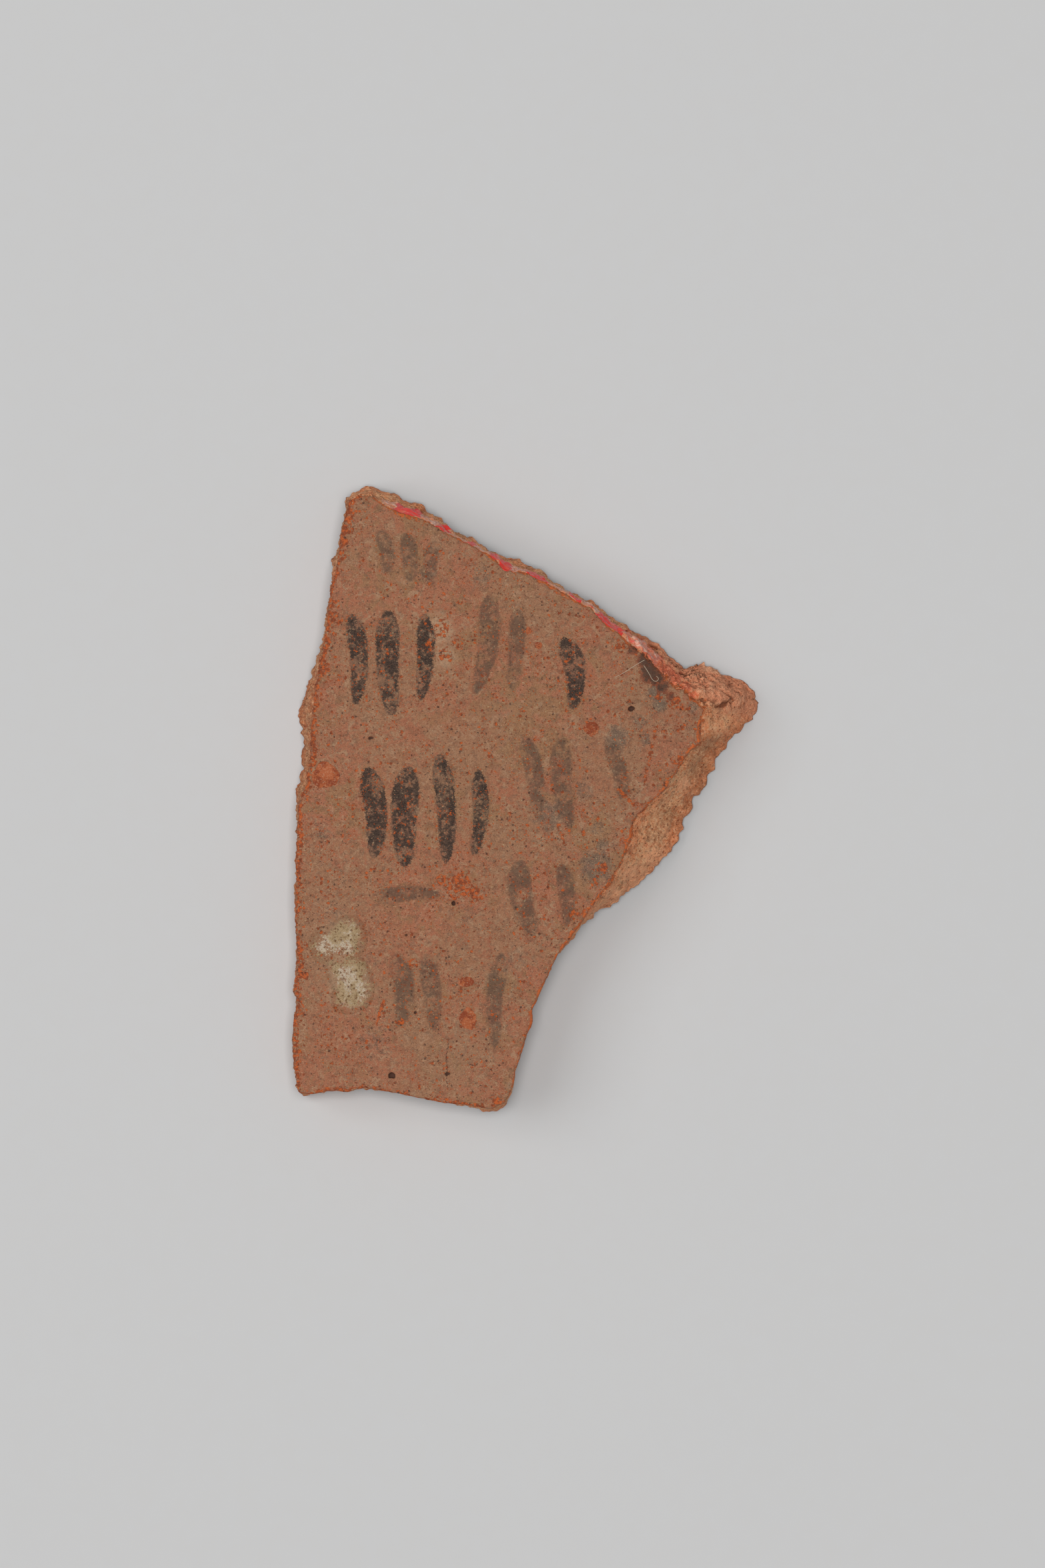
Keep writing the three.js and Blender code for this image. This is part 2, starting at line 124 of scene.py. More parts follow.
PALE_PLACES = [
    (655, 945, 34, 0.85), (668, 985, 24, 0.75), (640, 905, 18, 0.4), (508, 1412, 48, 0.7),
    (524, 1480, 46, 0.8), (506, 1444, 26, 0.8), (760, 1062, 34, 0.35), (800, 1200, 40, 0.3),
    (622, 1250, 26, 0.3), (700, 1565, 40, 0.3), (600, 1500, 22, 0.3),
]
PINK_PLACES = [
    (560, 1400, 46, 0.75), (505, 1545, 52, 0.7), (640, 1345, 60, 0.5), (900, 1150, 70, 0.5),
    (996, 1125, 46, 0.85), (1012, 1085, 30, 0.7), (780, 960, 60, 0.4), (570, 1610, 60, 0.45),
    (730, 1400, 60, 0.4), (478, 1370, 26, 0.6), (600, 1170, 50, 0.3), (700, 1080, 60, 0.3),
]
OLIVE_PLACES = [
    (590, 835, 64, 0.8), (630, 782, 36, 0.7), (545, 760, 26, 0.5), (780, 900, 50, 0.6),
    (720, 960, 40, 0.4), (810, 1100, 80, 0.7), (740, 1050, 50, 0.5), (890, 1240, 44, 0.9),
    (930, 1290, 26, 0.8), (700, 1210, 50, 0.5), (520, 1220, 44, 0.5), (860, 1330, 40, 0.5),
    (750, 1480, 44, 0.5), (520, 1500, 44, 0.4), (660, 1600, 40, 0.4),
]
SMOKY_PLACES = [
    (984, 1040, 15, 0.9), (990, 1056, 14, 0.85), (720, 862, 24, 0.4), (826, 1222, 30, 0.6),
    (876, 1186, 18, 0.5), (925, 1106, 22, 0.75), (958, 1084, 13, 0.6), (968, 1110, 12, 0.6),
    (895, 1300, 30, 0.7), (905, 1272, 16, 0.6), (1028, 1180, 12, 0.7), (1008, 1178, 10, 0.5),
    (920, 1342, 14, 0.5), (560, 1562, 30, 0.4), (500, 1370, 20, 0.35), (482, 1250, 18, 0.4),
    (640, 860, 18, 0.4), (770, 1440, 20, 0.4), (560, 1440, 14, 0.3), (700, 1380, 20, 0.3),
    (1040, 1062, 10, 0.6), (895, 1245, 14, 0.5),
]
STAINED_PLACES = [
    (888, 903, 7, 0.5), (899, 913, 8, 0.55), (922, 934, 9, 0.6), (942, 950, 10, 0.65),
    (950, 974, 11, 0.75), (908, 916, 8, 0.6), (934, 936, 9, 0.7), (956, 958, 10, 0.75),
    (967, 990, 13, 0.9), (974, 1003, 15, 1.0), (984, 1016, 15, 1.0), (970, 1014, 12, 0.9),
    (994, 1030, 12, 0.9), (1006, 1044, 9, 0.7),
]
FRESH_PLACES = [
    (955, 1318, 28, 0.9), (985, 1288, 24, 0.7), (925, 1348, 22, 0.85), (905, 1372, 20, 0.8),
    (1028, 1176, 13, 0.7), (1078, 1090, 24, 0.4), (890, 1385, 18, 0.6), (1000, 1245, 16, 0.4),
]
REDDENED_PLACES = [
    (944, 948, 9, 0.6), (958, 964, 12, 0.8), (972, 978, 13, 0.95), (986, 992, 14, 1.0),
    (1000, 1006, 14, 1.0), (1014, 1019, 13, 0.9), (1028, 1032, 12, 0.85), (1040, 1045, 10, 0.65),
    (1126, 1018, 7, 0.7), (1120, 1008, 6, 0.5),
]
DIM_PLACES = [
    (1064, 1116, 24, 0.8), (1048, 1150, 24, 0.8), (1052, 1180, 18, 0.7), (1040, 1205, 22, 0.7),
    (1008, 1226, 26, 0.7), (985, 1250, 18, 0.5), (1120, 1060, 22, 0.3),
]
SCRATCHES = [
    [(985, 1090), (981, 1108), (976, 1132), (970, 1156), (966, 1182)],
    [(928, 1185), (940, 1197), (952, 1206), (966, 1207), (982, 1203)],
    [(838, 1238), (842, 1254), (848, 1266)],
    [(576, 1502), (570, 1520), (566, 1536)],
]
SCRATCH_WIDTH = 3

# A hair crack in the skin
CRACK = [(673, 1557), (672, 1572), (669, 1586), (671, 1602), (670, 1618), (672, 1632)]
CRACK_WIDTH = 1.6

# The loose hairs
HAIRS = {
    "hair_long": [(923, 1016), (936, 1009), (950, 1000), (960, 994), (967, 990)],
    "hair_curled": [
        (966, 998), (970, 1004), (975, 1012), (979, 1019), (984, 1022), (988, 1018), (985, 1014),
    ],
}

# Pits in the writing face: x and y in photograph pixels, then half width and half height
PITS = [
    (947, 1063, 5.5, 3.8), (588, 1613, 6.0, 5.0), (681, 1355, 3.5, 3.5), (557, 1107, 5.0, 2.6),
    (542, 1195, 5.0, 2.2), (610, 1403, 2.2, 2.0), (671, 1611, 5.0, 2.5), (930, 1138, 1.6, 1.6),
    (490, 1526, 1.8, 1.6), (623, 1519, 2.6, 2.4),
]

# Directions along the top edge and square to it, each down a column
TOP_EDGE = np.array(((0.83, 0.55), (-0.55, 0.83)))

# The rugged place at the right tip and the crumbled hollow in it: middle in photograph pixels, then half
# length and half width in metres
RUGGED_PLACE = ((1060, 1007), (0.0100, 0.0034))
CRUMBLED_PLACE = ((1062, 1022), (0.0048, 0.0022))

# Where across the sherd its top break begins to turn rugged, and where it is as rugged as it gets
TIP_START = 0.004
TIP_FULL = 0.018

# How much of each relief of the break shows on each of its stretches
RELIEF_SHARES = {
    "scallops": {"everywhere": 0.2, "low": 0.8, "top": -0.3},
    "lumps": {"everywhere": 0.14, "top": 0.26, "tip": 0.2, "left": 0.16, "right": 0.26},
    "facets": {"tip": 1},
    "grit": {"everywhere": 0.3, "top": 0.4, "tip": 0.6, "left": 0.7},
    "ledges": {"top": 0.25, "crumbled": 0.75},
    "cracks": {"everywhere": 0.05, "top": 0.25, "crumbled": 0.75},
}

# How fast the scallops and the other relief of the break change across, along and through the wall
SCALLOP_STRETCH = (1, 1, 0.2)
RELIEF_STRETCH = (1, 1, 0.7)

# How far from the edges of the break and of the inside their relief starts
RELIEF_START = 0.0006
RIDGE_START = 0.002

# Sizes of the slow changes of ledges, worn edges and ridges, of bumps, and of the ragged outlines of the
# rugged place and of pits
LEDGE_BEND = 0.0034
LEDGE_PATCH = 0.0026
WORN_STRETCH = 0.003
RIDGE_WANDER = 0.02
INNER_BUMP = 0.003
CRUST_BUMP = 0.0009
RUGGED_RAGS = 0.0012
PIT_RAGS = 0.0003

# The orange line round the writing face: its usual width, how far that changes, and over what length
RIM_WIDTH = 0.00022
RIM_GROWTH = 0.0002
RIM_STRETCH = 0.0022

# Half of the angle, in degrees, that the flat facet along the crown of the construction spans
FACET_HALF_ANGLE = 1.1

# Grains of crushed sherd: height and size of their lumps as shares of their radius, then how far they stand
# out, how much more in the middle, and their chips
GRAIN_LUMPS = 0.22
GRAIN_LUMP_SIZE = 0.9
GRAIN_STAND = 0.000022
GRAIN_CROWN = 0.00003
GRAIN_CHIP = 0.00002
GRAIN_CHIP_SIZE = 0.0005

# How far the closer points round a pit reach, as a share of its size
PIT_REACH = 1.5

# Films on the top break: how deep under the writing face they begin and end, over what length they thin out
# at their ends and at their sides, and the size and the strength of their rags
VARNISH_DEPTHS = (0.0002, 0.0034)
PAINT_DEPTHS = (0.00015, 0.0032)
COAT_END = 0.0006
COAT_SIDE = 0.0004
COAT_RAGS = 0.0007
COAT_RAGGED = 0.45

# How far the face of a film on the break may sink into the clay, and how far its foot lies under it, as
# shares of the film's height
COAT_SINK = 0.4
COAT_FOOT = 3

# Millimetres to a metre across and along the sherd, and fewer through its wall, where grains are drawn out
SHADER_SCALE = (1000, 1000, 620)

# How many swirls of noise a flake has along it, and how far they pull its edge, as a share of its size
FLAKE_SWIRLS = 1.6
FLAKE_PULL = 1.1

# How fast the streaks of varnish and paint change along the edge, as a share of how fast they change down it
STREAK_STRETCH = 0.35

# Roughness of the gloss on varnish and paint
GLOSS_ROUGHNESS = 0.3

# How far the middle of the break's bumps stands out, so that the rugged tip swells as a whole
BUMP_MIDDLE = 3.95

# Half of the bond between two layers of the wall
BOND_HALF = 0.00005

# Least distance between an outline and the points that fill it, as a share of the distance between points
FILL_GAP = 0.6

# Rings of points along the worn edge of the writing face: how far in they reach, as a share of the edge's
# radius, and where they lie, as shares of that reach
EDGE_REACH = 1.3
EDGE_RINGS = (0.2, 0.5, 0.9)

# Middles of the lamps
OVERHEAD_PLACE = (0, 0, 2.3)
KEY_PLACE = (-1.6, 0.22, 2.05)


def srgb(red, green, blue):
    """A colour as it looks on screen, from 0 to 255, as the linear colour that a shader takes."""
    shares = (channel / 255 for channel in (red, green, blue))
    return tuple(s / 12.92 if s <= 0.04045 else ((s + 0.055) / 1.055) ** 2.4 for s in shares)


def length(name, description, default):
    return FloatProperty(name=name, description=description, default=default, unit="LENGTH", precision=6)


def power(name, description, default):
    return FloatProperty(name=name, description=description, default=default, unit="POWER")


def pixels(name, description, default):
    return IntProperty(name=name, description=description, default=default, subtype="PIXEL")


def colour(name, description, *default):
    return FloatVectorProperty(
        name=name, description=description, default=srgb(*default), subtype="COLOR", min=0, max=1
    )


class SherdSizes(bpy.types.PropertyGroup):
    """Sizes of the sherd's surfaces and of what lies on them."""

    pot_radius: length("Pot radius", "Radius of the pot's outside", 0.160)
    wall: length("Wall", "Thickness of the pot's wall", 0.0084)
    ring_step: length("Ring step", "Distance between points round the break", 0.00015)
    row_step: length("Row step", "Distance between rows down the break", 0.00016)
    face_step: length("Face step", "Distance between points of the writing face", 0.00022)
    underside_step: length("Underside step", "Distance between points of the inside", 0.00045)
    hidden_step: length("Hidden step", "Distance between points of the seats between layers", 0.002)
    edge_round: length("Edge rounding", "Radius of the worn edge of the writing face", 0.00024)
    serration: length("Serration", "Height of the scallops of the edge", 0.0005)
    serration_size: length("Serration size", "Length of the scallops of the edge", 0.0013)
    lump_height: length("Lump height", "Height of the lumps of the break", 0.00048)
    lump_size: length("Lump size", "Size of the lumps of the break", 0.0019)
    facet_height: length("Facet height", "Height of the broad facets of the tip", 0.00042)
    facet_size: length("Facet size", "Size of the broad facets of the tip", 0.0036)
    grit_height: length("Grit height", "Height of the grit of the break", 0.00022)
    grit_size: length("Grit size", "Size of the grit of the break", 0.0005)
    ledge_height: length("Ledge height", "How far the laminated ledges stand out", 0.0007)
    ledge_size: length("Ledge size", "Distance between the laminated ledges", 0.0019)
    crevice_depth: length("Crevice depth", "Depth of the crevices in the break", 0.0011)
    crevice_size: length("Crevice size", "Distance between the crevices in the break", 0.0012)
    face_swell: length("Face swell", "Height of the slow swells of the writing face", 0.00005)
    face_swell_size: length("Face swell size", "Size of the slow swells of the writing face", 0.006)
    face_dimple: length("Face dimples", "Height of the small dimples of the writing face", 0.000016)
    face_dimple_size: length("Face dimple size", "Size of the small dimples of the writing face", 0.0011)
    throwing_ridge: length("Throwing ridges", "Height of the potter's ridges on the inside", 0.00016)
    throwing_ridge_size: length("Throwing ridge size", "Distance between the potter's ridges", 0.0056)
    pit_depth: length("Pit depth", "Depth of the pits in the writing face", 0.00042)
    pit_step: length("Pit step", "Distance between points in a pit", 0.00006)
    film_margin: length("Film margin", "How far a film runs past the outline of its mark", 0.00045)
    film_step: length("Film step", "Distance between points of a film", 0.0002)
    film_lift: length("Film lift", "How far a film of ink stands above the clay", 0.00001)
    film_dip: length("Film dip", "How far the rim of a film dips under the clay", 0.00002)
    film_sink: length("Film sink", "How far the foot of a film lies under the clay", 0.00012)
    ink_feather: length("Ink feather", "Width of the soft edge of a stroke", 0.00035)
    crust_height: length("Crust height", "Height of the lime crust", 0.00016)
    crust_feather: length("Crust feather", "Width of the thinning edge of the lime crust", 0.001)
    crust_margin: length("Crust margin", "How far the lime crust runs past its outline", 0.0012)
    varnish_height: length("Varnish height", "Height of the varnish on the break", 0.00007)
    paint_height: length("Paint height", "Height of the paint on the varnish", 0.00013)
    hair_radius: length("Hair radius", "Radius of the hairs", 0.00003)


class SherdColours(bpy.types.PropertyGroup):
    """Colours of clay, ink and deposits."""

    skin_brown: colour("Skin brown", "Commonest colour of the writing face", 148, 105, 77)
    skin_warm: colour("Skin warm", "Pinkish places of the writing face", 157, 97, 70)
    skin_olive: colour("Skin olive", "Greyish places of the writing face", 138, 108, 74)
    skin_pale: colour("Skin pale", "Pale places of the writing face", 182, 148, 118)
    skin_shade: colour("Skin shade", "Dark grains of the writing face", 94, 64, 46)
    rust: colour("Rust", "Orange clay under the skin", 178, 84, 36)
    # Orange clay with a painted highlight: brighter where the rim faces right, standing in for light there
    rust_painted_highlight: colour("Rust bright", "Orange clay where the edge is newly broken", 198, 100, 48)
    rust_deep: colour("Rust deep", "Darker orange clay", 124, 58, 30)
    # Dark specks; the same colour is also painted shade in the pits
    dark_speck_and_pit_shade: colour("Dark specks", "Dark specks of temper", 70, 44, 34)
    smoke: colour("Smoke", "Grey smudges on the writing face", 102, 88, 75)
    stain: colour("Stain", "Stain of varnish on the writing face", 118, 62, 38)
    stain_dark: colour("Stain dark", "Stain of varnish where it is thick", 58, 42, 32)
    break_tan: colour("Break tan", "Commonest colour of the break", 228, 168, 122)
    break_orange: colour("Break orange", "Oxidised clay of the break", 230, 142, 94)
    break_grey: colour("Break grey", "Less oxidised clay of the break", 182, 156, 116)
    break_flushed: colour("Break flushed", "Reddened clay at the right tip", 230, 150, 114)
    break_red: colour("Break red", "Clay of the break that red varnish stains", 216, 92, 64)
    break_dark: colour("Break dark", "Dark grains of the break", 118, 62, 36)
    break_dim: colour("Break dim", "Dusty crumbled places of the break", 132, 88, 54)
    break_fresh: colour("Break fresh", "Newly broken clay", 240, 170, 126)
    break_pale: colour("Break pale", "Pale grains of the break", 232, 190, 152)
    grog: colour("Grog", "Grains of crushed sherd", 162, 86, 50)
    grog_pale: colour("Grog pale", "Pinkish places of the grains", 190, 116, 82)
    grog_dark: colour("Grog dark", "Dark places of the grains", 134, 62, 36)
    ink: colour("Ink", "Ink where it is thick", 76, 60, 51)
    ink_black: colour("Ink black", "Blackest grains of the ink", 36, 28, 24)
    ink_thin: colour("Ink thin", "Ink where it is nearly gone", 100, 80, 66)
    lime: colour("Lime", "Pale lime crust", 176, 152, 116)
    chalk: colour("Chalk", "Whitest places of the lime crust", 202, 187, 166)
    lime_dirt: colour("Lime dirt", "Dirt in the lime crust", 104, 72, 40)
    varnish: colour("Varnish", "Cloudy varnish", 226, 186, 166)
    paint: colour("Paint", "Red paint", 222, 48, 38)
    paint_worn: colour("Paint worn", "Red paint where it is thin", 206, 104, 80)
    hair: colour("Hair", "Pale hairs", 188, 168, 144)
    floor: colour("Floor", "Floor under the sherd", 198, 198, 198)


class StageSettings(bpy.types.PropertyGroup):
    """Camera, lamps and floor."""

    camera_distance: length("Camera distance", "Height of the camera above the floor", 2.0)
    frame_width: pixels("Frame width", "Width of the picture", 1568)
    frame_height: pixels("Frame height", "Height of the picture", 2352)
    sensor: FloatProperty(name="Sensor", description="Height of the sensor in millimetres", default=36)
    floor_size: length("Floor size", "Side of the floor", 6.0)
    sky: FloatProperty(name="Sky", description="Strength of the even light", default=0.2)
    overhead_power: power("Overhead power", "Power of the lamp above", 30.6)
    key_power: power("Key power", "Power of the lamp at the left", 23.4)
    overhead_size: length("Overhead size", "Side of the lamp above", 0.6)
    key_size: length("Key size", "Side of the lamp at the left", 1.7)


# Noise and curves


def corner_values(x, y, z, seed):
    """A value from -1 to 1 for each corner of a grid, alike on every run."""
    mixed = x * np.uint32(374761393) + y * np.uint32(668265263) + z * np.uint32(2147483647 - 1274126177)
    mixed = mixed + np.uint32(seed * 974711)
    mixed = (mixed ^ (mixed >> np.uint32(13))) * np.uint32(1103515245)
    mixed = (mixed ^ (mixed >> np.uint32(16))) * np.uint32(668265261)
    mixed = mixed ^ (mixed >> np.uint32(15))
    return mixed / 2.0**31 - 1


def noise(points, size, seed):
    """Smooth noise from -1 to 1, with lumps of the given size, at rows of x, y and z."""
    scaled = np.asarray(points) / size
    cell = np.floor(scaled)
    across = scaled - cell
    across = across * across * (3 - 2 * across)
    cell = cell.astype(np.int64).astype(np.uint32)
    total = np.zeros(scaled.shape[:-1])
    for corner in np.ndindex(2, 2, 2):
        weight = np.ones_like(total)
        for axis, side in enumerate(corner):
            weight = weight * (across[..., axis] if side else 1 - across[..., axis])
        x, y, z = (cell[..., axis] + np.uint32(side) for axis, side in enumerate(corner))
        total += weight * corner_values(x, y, z, seed)
    return total


def rough_noise(points, size, seed, octaves=4):
    """Noise with finer and finer lumps on its lumps."""
    total = 0
    for octave in range(octaves):
        total = total + noise(points, size / 2**octave, seed + octave) / 2**octave
    return total


def smooth_step(low, high, value):
    share = np.clip((value - low) / (high - low), 0, 1)
    return share * share * (3 - 2 * share)


def from_photo(points):
    """Places on the sherd, from pixels of the photograph."""
    points = np.asarray(points, float)
    return (points - MIDDLE_PIXEL) * (PIXEL, -PIXEL) + OUTLINE_MIDDLE


def flat(points):
    """Rows of x and y as rows of x, y and a z of 0."""
    return np.column_stack([points, np.zeros(len(points))])


def away_from(points, middle, half_size):
    """Distance from a place on the top edge, as a share of its half length and half width."""
    return np.linalg.norm((points - from_photo(middle)) @ TOP_EDGE / half_size, axis=-1)


def smoothed_ring(values, reach):
    """Values round a closed ring, each averaged with its neighbours within reach."""
    steps = np.arange(-2 * reach, 2 * reach + 1)
    weights = np.exp(-0.5 * (steps / reach) ** 2)
    weights /= weights.sum()
    return sum(weight * np.roll(values, step, axis=0) for weight, step in zip(weights, steps))


def outward(ring):
    """Unit vectors that point out of an anticlockwise ring."""
    along = np.roll(ring, -1, axis=0) - np.roll(ring, 1, axis=0)
    along /= np.linalg.norm(along, axis=1)[:, None]
    return np.column_stack([along[:, 1], -along[:, 0]])


def evenly_spaced(corners, step):
    """A closed ring of points a step apart along the corners' straight lines."""
    closed = np.vstack([corners, corners[:1]])
    travelled = np.concatenate([[0], np.cumsum(np.linalg.norm(np.diff(closed[:, :2], axis=0), axis=1))])
    count = max(8, round(travelled[-1] / step))
    places = np.linspace(0, travelled[-1], count, endpoint=False)
    return np.column_stack([np.interp(places, travelled, column) for column in closed.T])


def inside_ring(points, ring):
    """True for each point that lies inside a closed ring."""
    inside = np.zeros(len(points), bool)
    for (x0, y0), (x1, y1) in zip(ring, np.roll(ring, -1, axis=0)):
        if y0 == y1:
            continue
        between = (points[:, 1] >= min(y0, y1)) & (points[:, 1] < max(y0, y1))
        crossing = x0 + (points[:, 1] - y0) * (x1 - x0) / (y1 - y0)
        inside ^= between & (points[:, 0] < crossing)
    return inside


def segment_distance(points, start, end):
    """Distance of each point from the straight line between a start and an end."""
    along = end - start
    share = np.clip(((points - start) * along).sum(-1) / np.maximum((along * along).sum(-1), 1e-18), 0, 1)
    return np.linalg.norm(points - start - share[..., None] * along, axis=-1)


def ring_distance(points, ring):
    """Distance of each point from a closed ring, and the ring's nearest point."""
    tree = kdtree.KDTree(len(ring))
    for i, (x, y) in enumerate(ring):
        tree.insert((x, y, 0), i)
    tree.balance()
    nearest = np.array([tree.find((x, y, 0))[1] for x, y in points], int)
    before = ring[nearest - 1]
    middle = ring[nearest]
    after = ring[(nearest + 1) % len(ring)]
    distance = np.minimum(segment_distance(points, before, middle), segment_distance(points, middle, after))
    return distance, nearest


def path_distance(points, path):
    """Distance of each point from an open path."""
    return np.min([segment_distance(points, a, b) for a, b in zip(path[:-1], path[1:])], axis=0)


def grid_points(low, high, step):
    """Points a step apart in offset rows that fill a box."""
    rows = np.arange(low[1], high[1], step * math.sqrt(0.75))
    points = []
    for i, y in enumerate(rows):
        x = np.arange(low[0] + (i % 2) * step / 2, high[0], step)
        points.append(np.column_stack([x, np.full(len(x), y)]))
    return np.vstack(points)


def points_inside(ring, step, gap):
    """Points a step apart inside a ring, at least a gap away from it."""
    points = grid_points(ring.min(0), ring.max(0), step)
    points = points[inside_ring(points, ring)]
    return points[ring_distance(points, ring)[0] > gap]


def triangulated(ring, inner):
    """Triangles that fill a ring and use the inner points; the ring's points come first."""
    points = np.vstack([ring, inner])
    loop = list(range(len(ring)))
    made = geometry.delaunay_2d_cdt([Vector(p) for p in points], [], [loop], 1, 1e-8)
    placed, faces, sources = made[0], made[2], made[3]
    order = [min(found) if found else -1 for found in sources]
    extra = [i for i, source in enumerate(order) if source < 0]
    for rank, i in enumerate(extra):
        order[i] = len(points) + rank
    if extra:
        points = np.vstack([points, [tuple(placed[i]) for i in extra]])
    faces = np.array([[order[i] for i in face] for face in faces], int)
    a, b, c = (points[faces[:, k]] for k in range(3))
    turned = (b[:, 0] - a[:, 0]) * (c[:, 1] - a[:, 1]) - (b[:, 1] - a[:, 1]) * (c[:, 0] - a[:, 0]) < 0
    faces[turned] = faces[turned][:, ::-1]
    return points, faces


# Shape of the sherd


class SherdShape:
    """The sherd's outline, its break and its writing face, worked out from its sizes."""

    def __init__(self, sizes):
        self.sizes = sizes
        shares = np.array(EDGE) / 1000 - 0.5
        corners = shares * (OUTLINE_SIZE * 2) + OUTLINE_MIDDLE * 2
        ring = evenly_spaced(corners, sizes.ring_step)
        ring = smoothed_ring(ring, 2)
        self.front = ring[:, :2]
        self.back = ring[:, 2:]
        self.out = outward(smoothed_ring((self.front + self.back) / 2, 5))
        above_facet = sizes.pot_radius * (1 - math.cos(math.radians(FACET_HALF_ANGLE)))
        self.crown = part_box("outer_skin")[1].z + above_facet
        worn = 1 + 0.7 * rough_noise(flat(self.front), WORN_STRETCH, 31, 3)
        self.round = sizes.edge_round * np.clip(worn, 0.35, 2)
        self.rim = self.break_points(self.round[None, :])[0][0, :, :2]

    @property
    def leftness(self):
        """How squarely each point of the edge faces left, from 0 to 1."""
        return np.clip(-1.3 * self.out[:, 0] - 0.3, 0, 1)

    @property
    def rightness(self):
        """How squarely each point of the edge faces right, from 0 to 1."""
        return np.clip(1.5 * self.out[:, 0], 0, 1)

    @property
    def topness(self):
        """How squarely each point of the edge faces the top, from 0 to 1."""
        return np.clip(1.6 * self.out[:, 1], 0, 1)

    def level(self, across, depth=0):
        """Height of the wall's curve at a distance across the sherd and a depth under the writing face."""
        radius = self.sizes.pot_radius
        return np.sqrt((radius - depth) ** 2 - across**2) - radius + self.crown

    def break_points(self, depth):
        """Points of the break, a row for each row of depths, and how far each stands out."""
        sizes = self.sizes
        depth = np.broadcast_to(depth, (len(depth), len(self.front)))
        share = np.clip(depth / sizes.wall, 0, 1) ** (1 - 0.5 * self.topness)
        slant = self.back - self.front
        plan = self.front + slant * share[..., None]
        stretches = self.stretches(plan, share)

        def shown(relief, height):
            return height * sum(part * stretches[stretch] for stretch, part in RELIEF_SHARES[relief].items())

        place = np.concatenate([plan, depth[..., None]], axis=-1)
        along_edge = place * SCALLOP_STRETCH
        scallops = np.abs(noise(along_edge, sizes.serration_size, 1)) - 0.25
        scallops = scallops + 0.5 * noise(along_edge, sizes.serration_size / 2.5, 3)
        scallops = scallops * shown("scallops", sizes.serration)
        place = place * RELIEF_STRETCH
        lumps = rough_noise(place, sizes.lump_size, 7, 2) * shown("lumps", sizes.lump_height)
        facets = rough_noise(place, sizes.facet_size, 9, 2) * shown("facets", sizes.facet_height)
        grit = rough_noise(place, sizes.grit_size, 11, 3) * shown("grit", sizes.grit_height)
        ledges, cracks = self.clay_layers(plan, place, depth)
        ledges = ledges * shown("ledges", sizes.ledge_height)
        cracks = cracks * shown("cracks", sizes.crevice_depth)
        open_break = smooth_step(0, RELIEF_START, np.minimum(depth, sizes.wall - depth))
        relief = (lumps + facets + grit + ledges - cracks) * open_break + grit * 0.3 * (1 - open_break)
        slope = np.linalg.norm(slant, axis=1) / sizes.wall
        upright = 1 / np.sqrt(1 + slope**2)
        moved = relief * upright + scallops
        plan = plan + self.out * moved[..., None]
        rise = relief * upright * slope * open_break
        points = np.dstack([plan, self.level(plan[..., 0], depth) + rise])
        return points, relief

    def stretches(self, plan, share):
        """How fully each point of the break lies on each of its stretches, from 0 to 1."""
        tip = self.topness * smooth_step(TIP_START, TIP_FULL, self.front[:, 0])
        return {
            "everywhere": 1,
            "low": smooth_step(0.45, 0.95, share),
            "top": self.topness,
            "tip": tip,
            "crumbled": tip * (0.25 + 0.75 * self.crumbling(plan)),
            "left": self.leftness,
            "right": self.rightness * (1 - self.topness),
        }

    def clay_layers(self, plan, place, depth):
        """Ledges and cracks of the clay's layers, which run along the top edge and end in steps."""
        sizes = self.sizes
        along_top, across_top = np.moveaxis(plan @ TOP_EDGE, -1, 0)
        layered = np.stack([along_top * 0.4, across_top, place[..., 2]], axis=-1)
        wander = rough_noise(place, sizes.crevice_size, 23, 2) * 0.3 * sizes.crevice_size
        layered = layered + wander[..., None]
        steps = (across_top + 0.5 * depth) / sizes.ledge_size + 1.7 * rough_noise(layered, LEDGE_BEND, 17, 5)
        ledges = (steps - np.floor(steps) - 0.5) * (0.5 + noise(place, LEDGE_PATCH, 19))
        cracks = smooth_step(0.25, 0.75, rough_noise(layered, sizes.crevice_size, 27, 4))
        return ledges, cracks

    def crumbling(self, points):
        """How deeply the break is crumbled, from 0 to 1 in the middle of the hollow at the right tip."""
        return 1 - smooth_step(0.5, 1.3, away_from(points, *CRUMBLED_PLACE))

    def ruggedness(self, points):
        """How rough and how reddened the break is, from 0 on its sandy stretches to 1 at the right tip."""
        away = away_from(points, *RUGGED_PLACE) + 0.25 * noise(flat(points), RUGGED_RAGS, 37)
        return 1 - smooth_step(0.6, 1.3, away)

    def face_drop(self, points):
        """How far the writing face lies under the wall's curve, by its worn edge and its pits."""
        distance, nearest = ring_distance(points, self.rim)
        radius = self.round[nearest]
        inset = np.clip(distance / radius, 0, 1)
        drop = radius * (1 - np.sqrt(1 - (1 - inset) ** 2))
        return drop + self.pit_share(points) * self.sizes.pit_depth

    def pit_share(self, points):
        """From 0 outside the pits to 1 at the bottom of one."""
        deepest = np.zeros(len(points))
        ragged = 0.3 * noise(flat(points), PIT_RAGS, 43)
        for x, y, half_width, half_height in PITS:
            offset = (points - from_photo((x, y))) / (half_width * PIXEL, half_height * PIXEL)
            share = np.linalg.norm(offset, axis=1) + ragged
            deepest = np.maximum(deepest, (1 - smooth_step(0.55, 1.05, share)) * min(1, half_height / 3.5))
        return deepest

    def face_level(self, points):
        """Height of the writing face."""
        sizes = self.sizes
        swell = noise(flat(points), sizes.face_swell_size, 51) * sizes.face_swell
        dimple = rough_noise(flat(points), sizes.face_dimple_size, 53, 2) * sizes.face_dimple
        return self.level(points[:, 0]) - self.face_drop(points) + swell + dimple

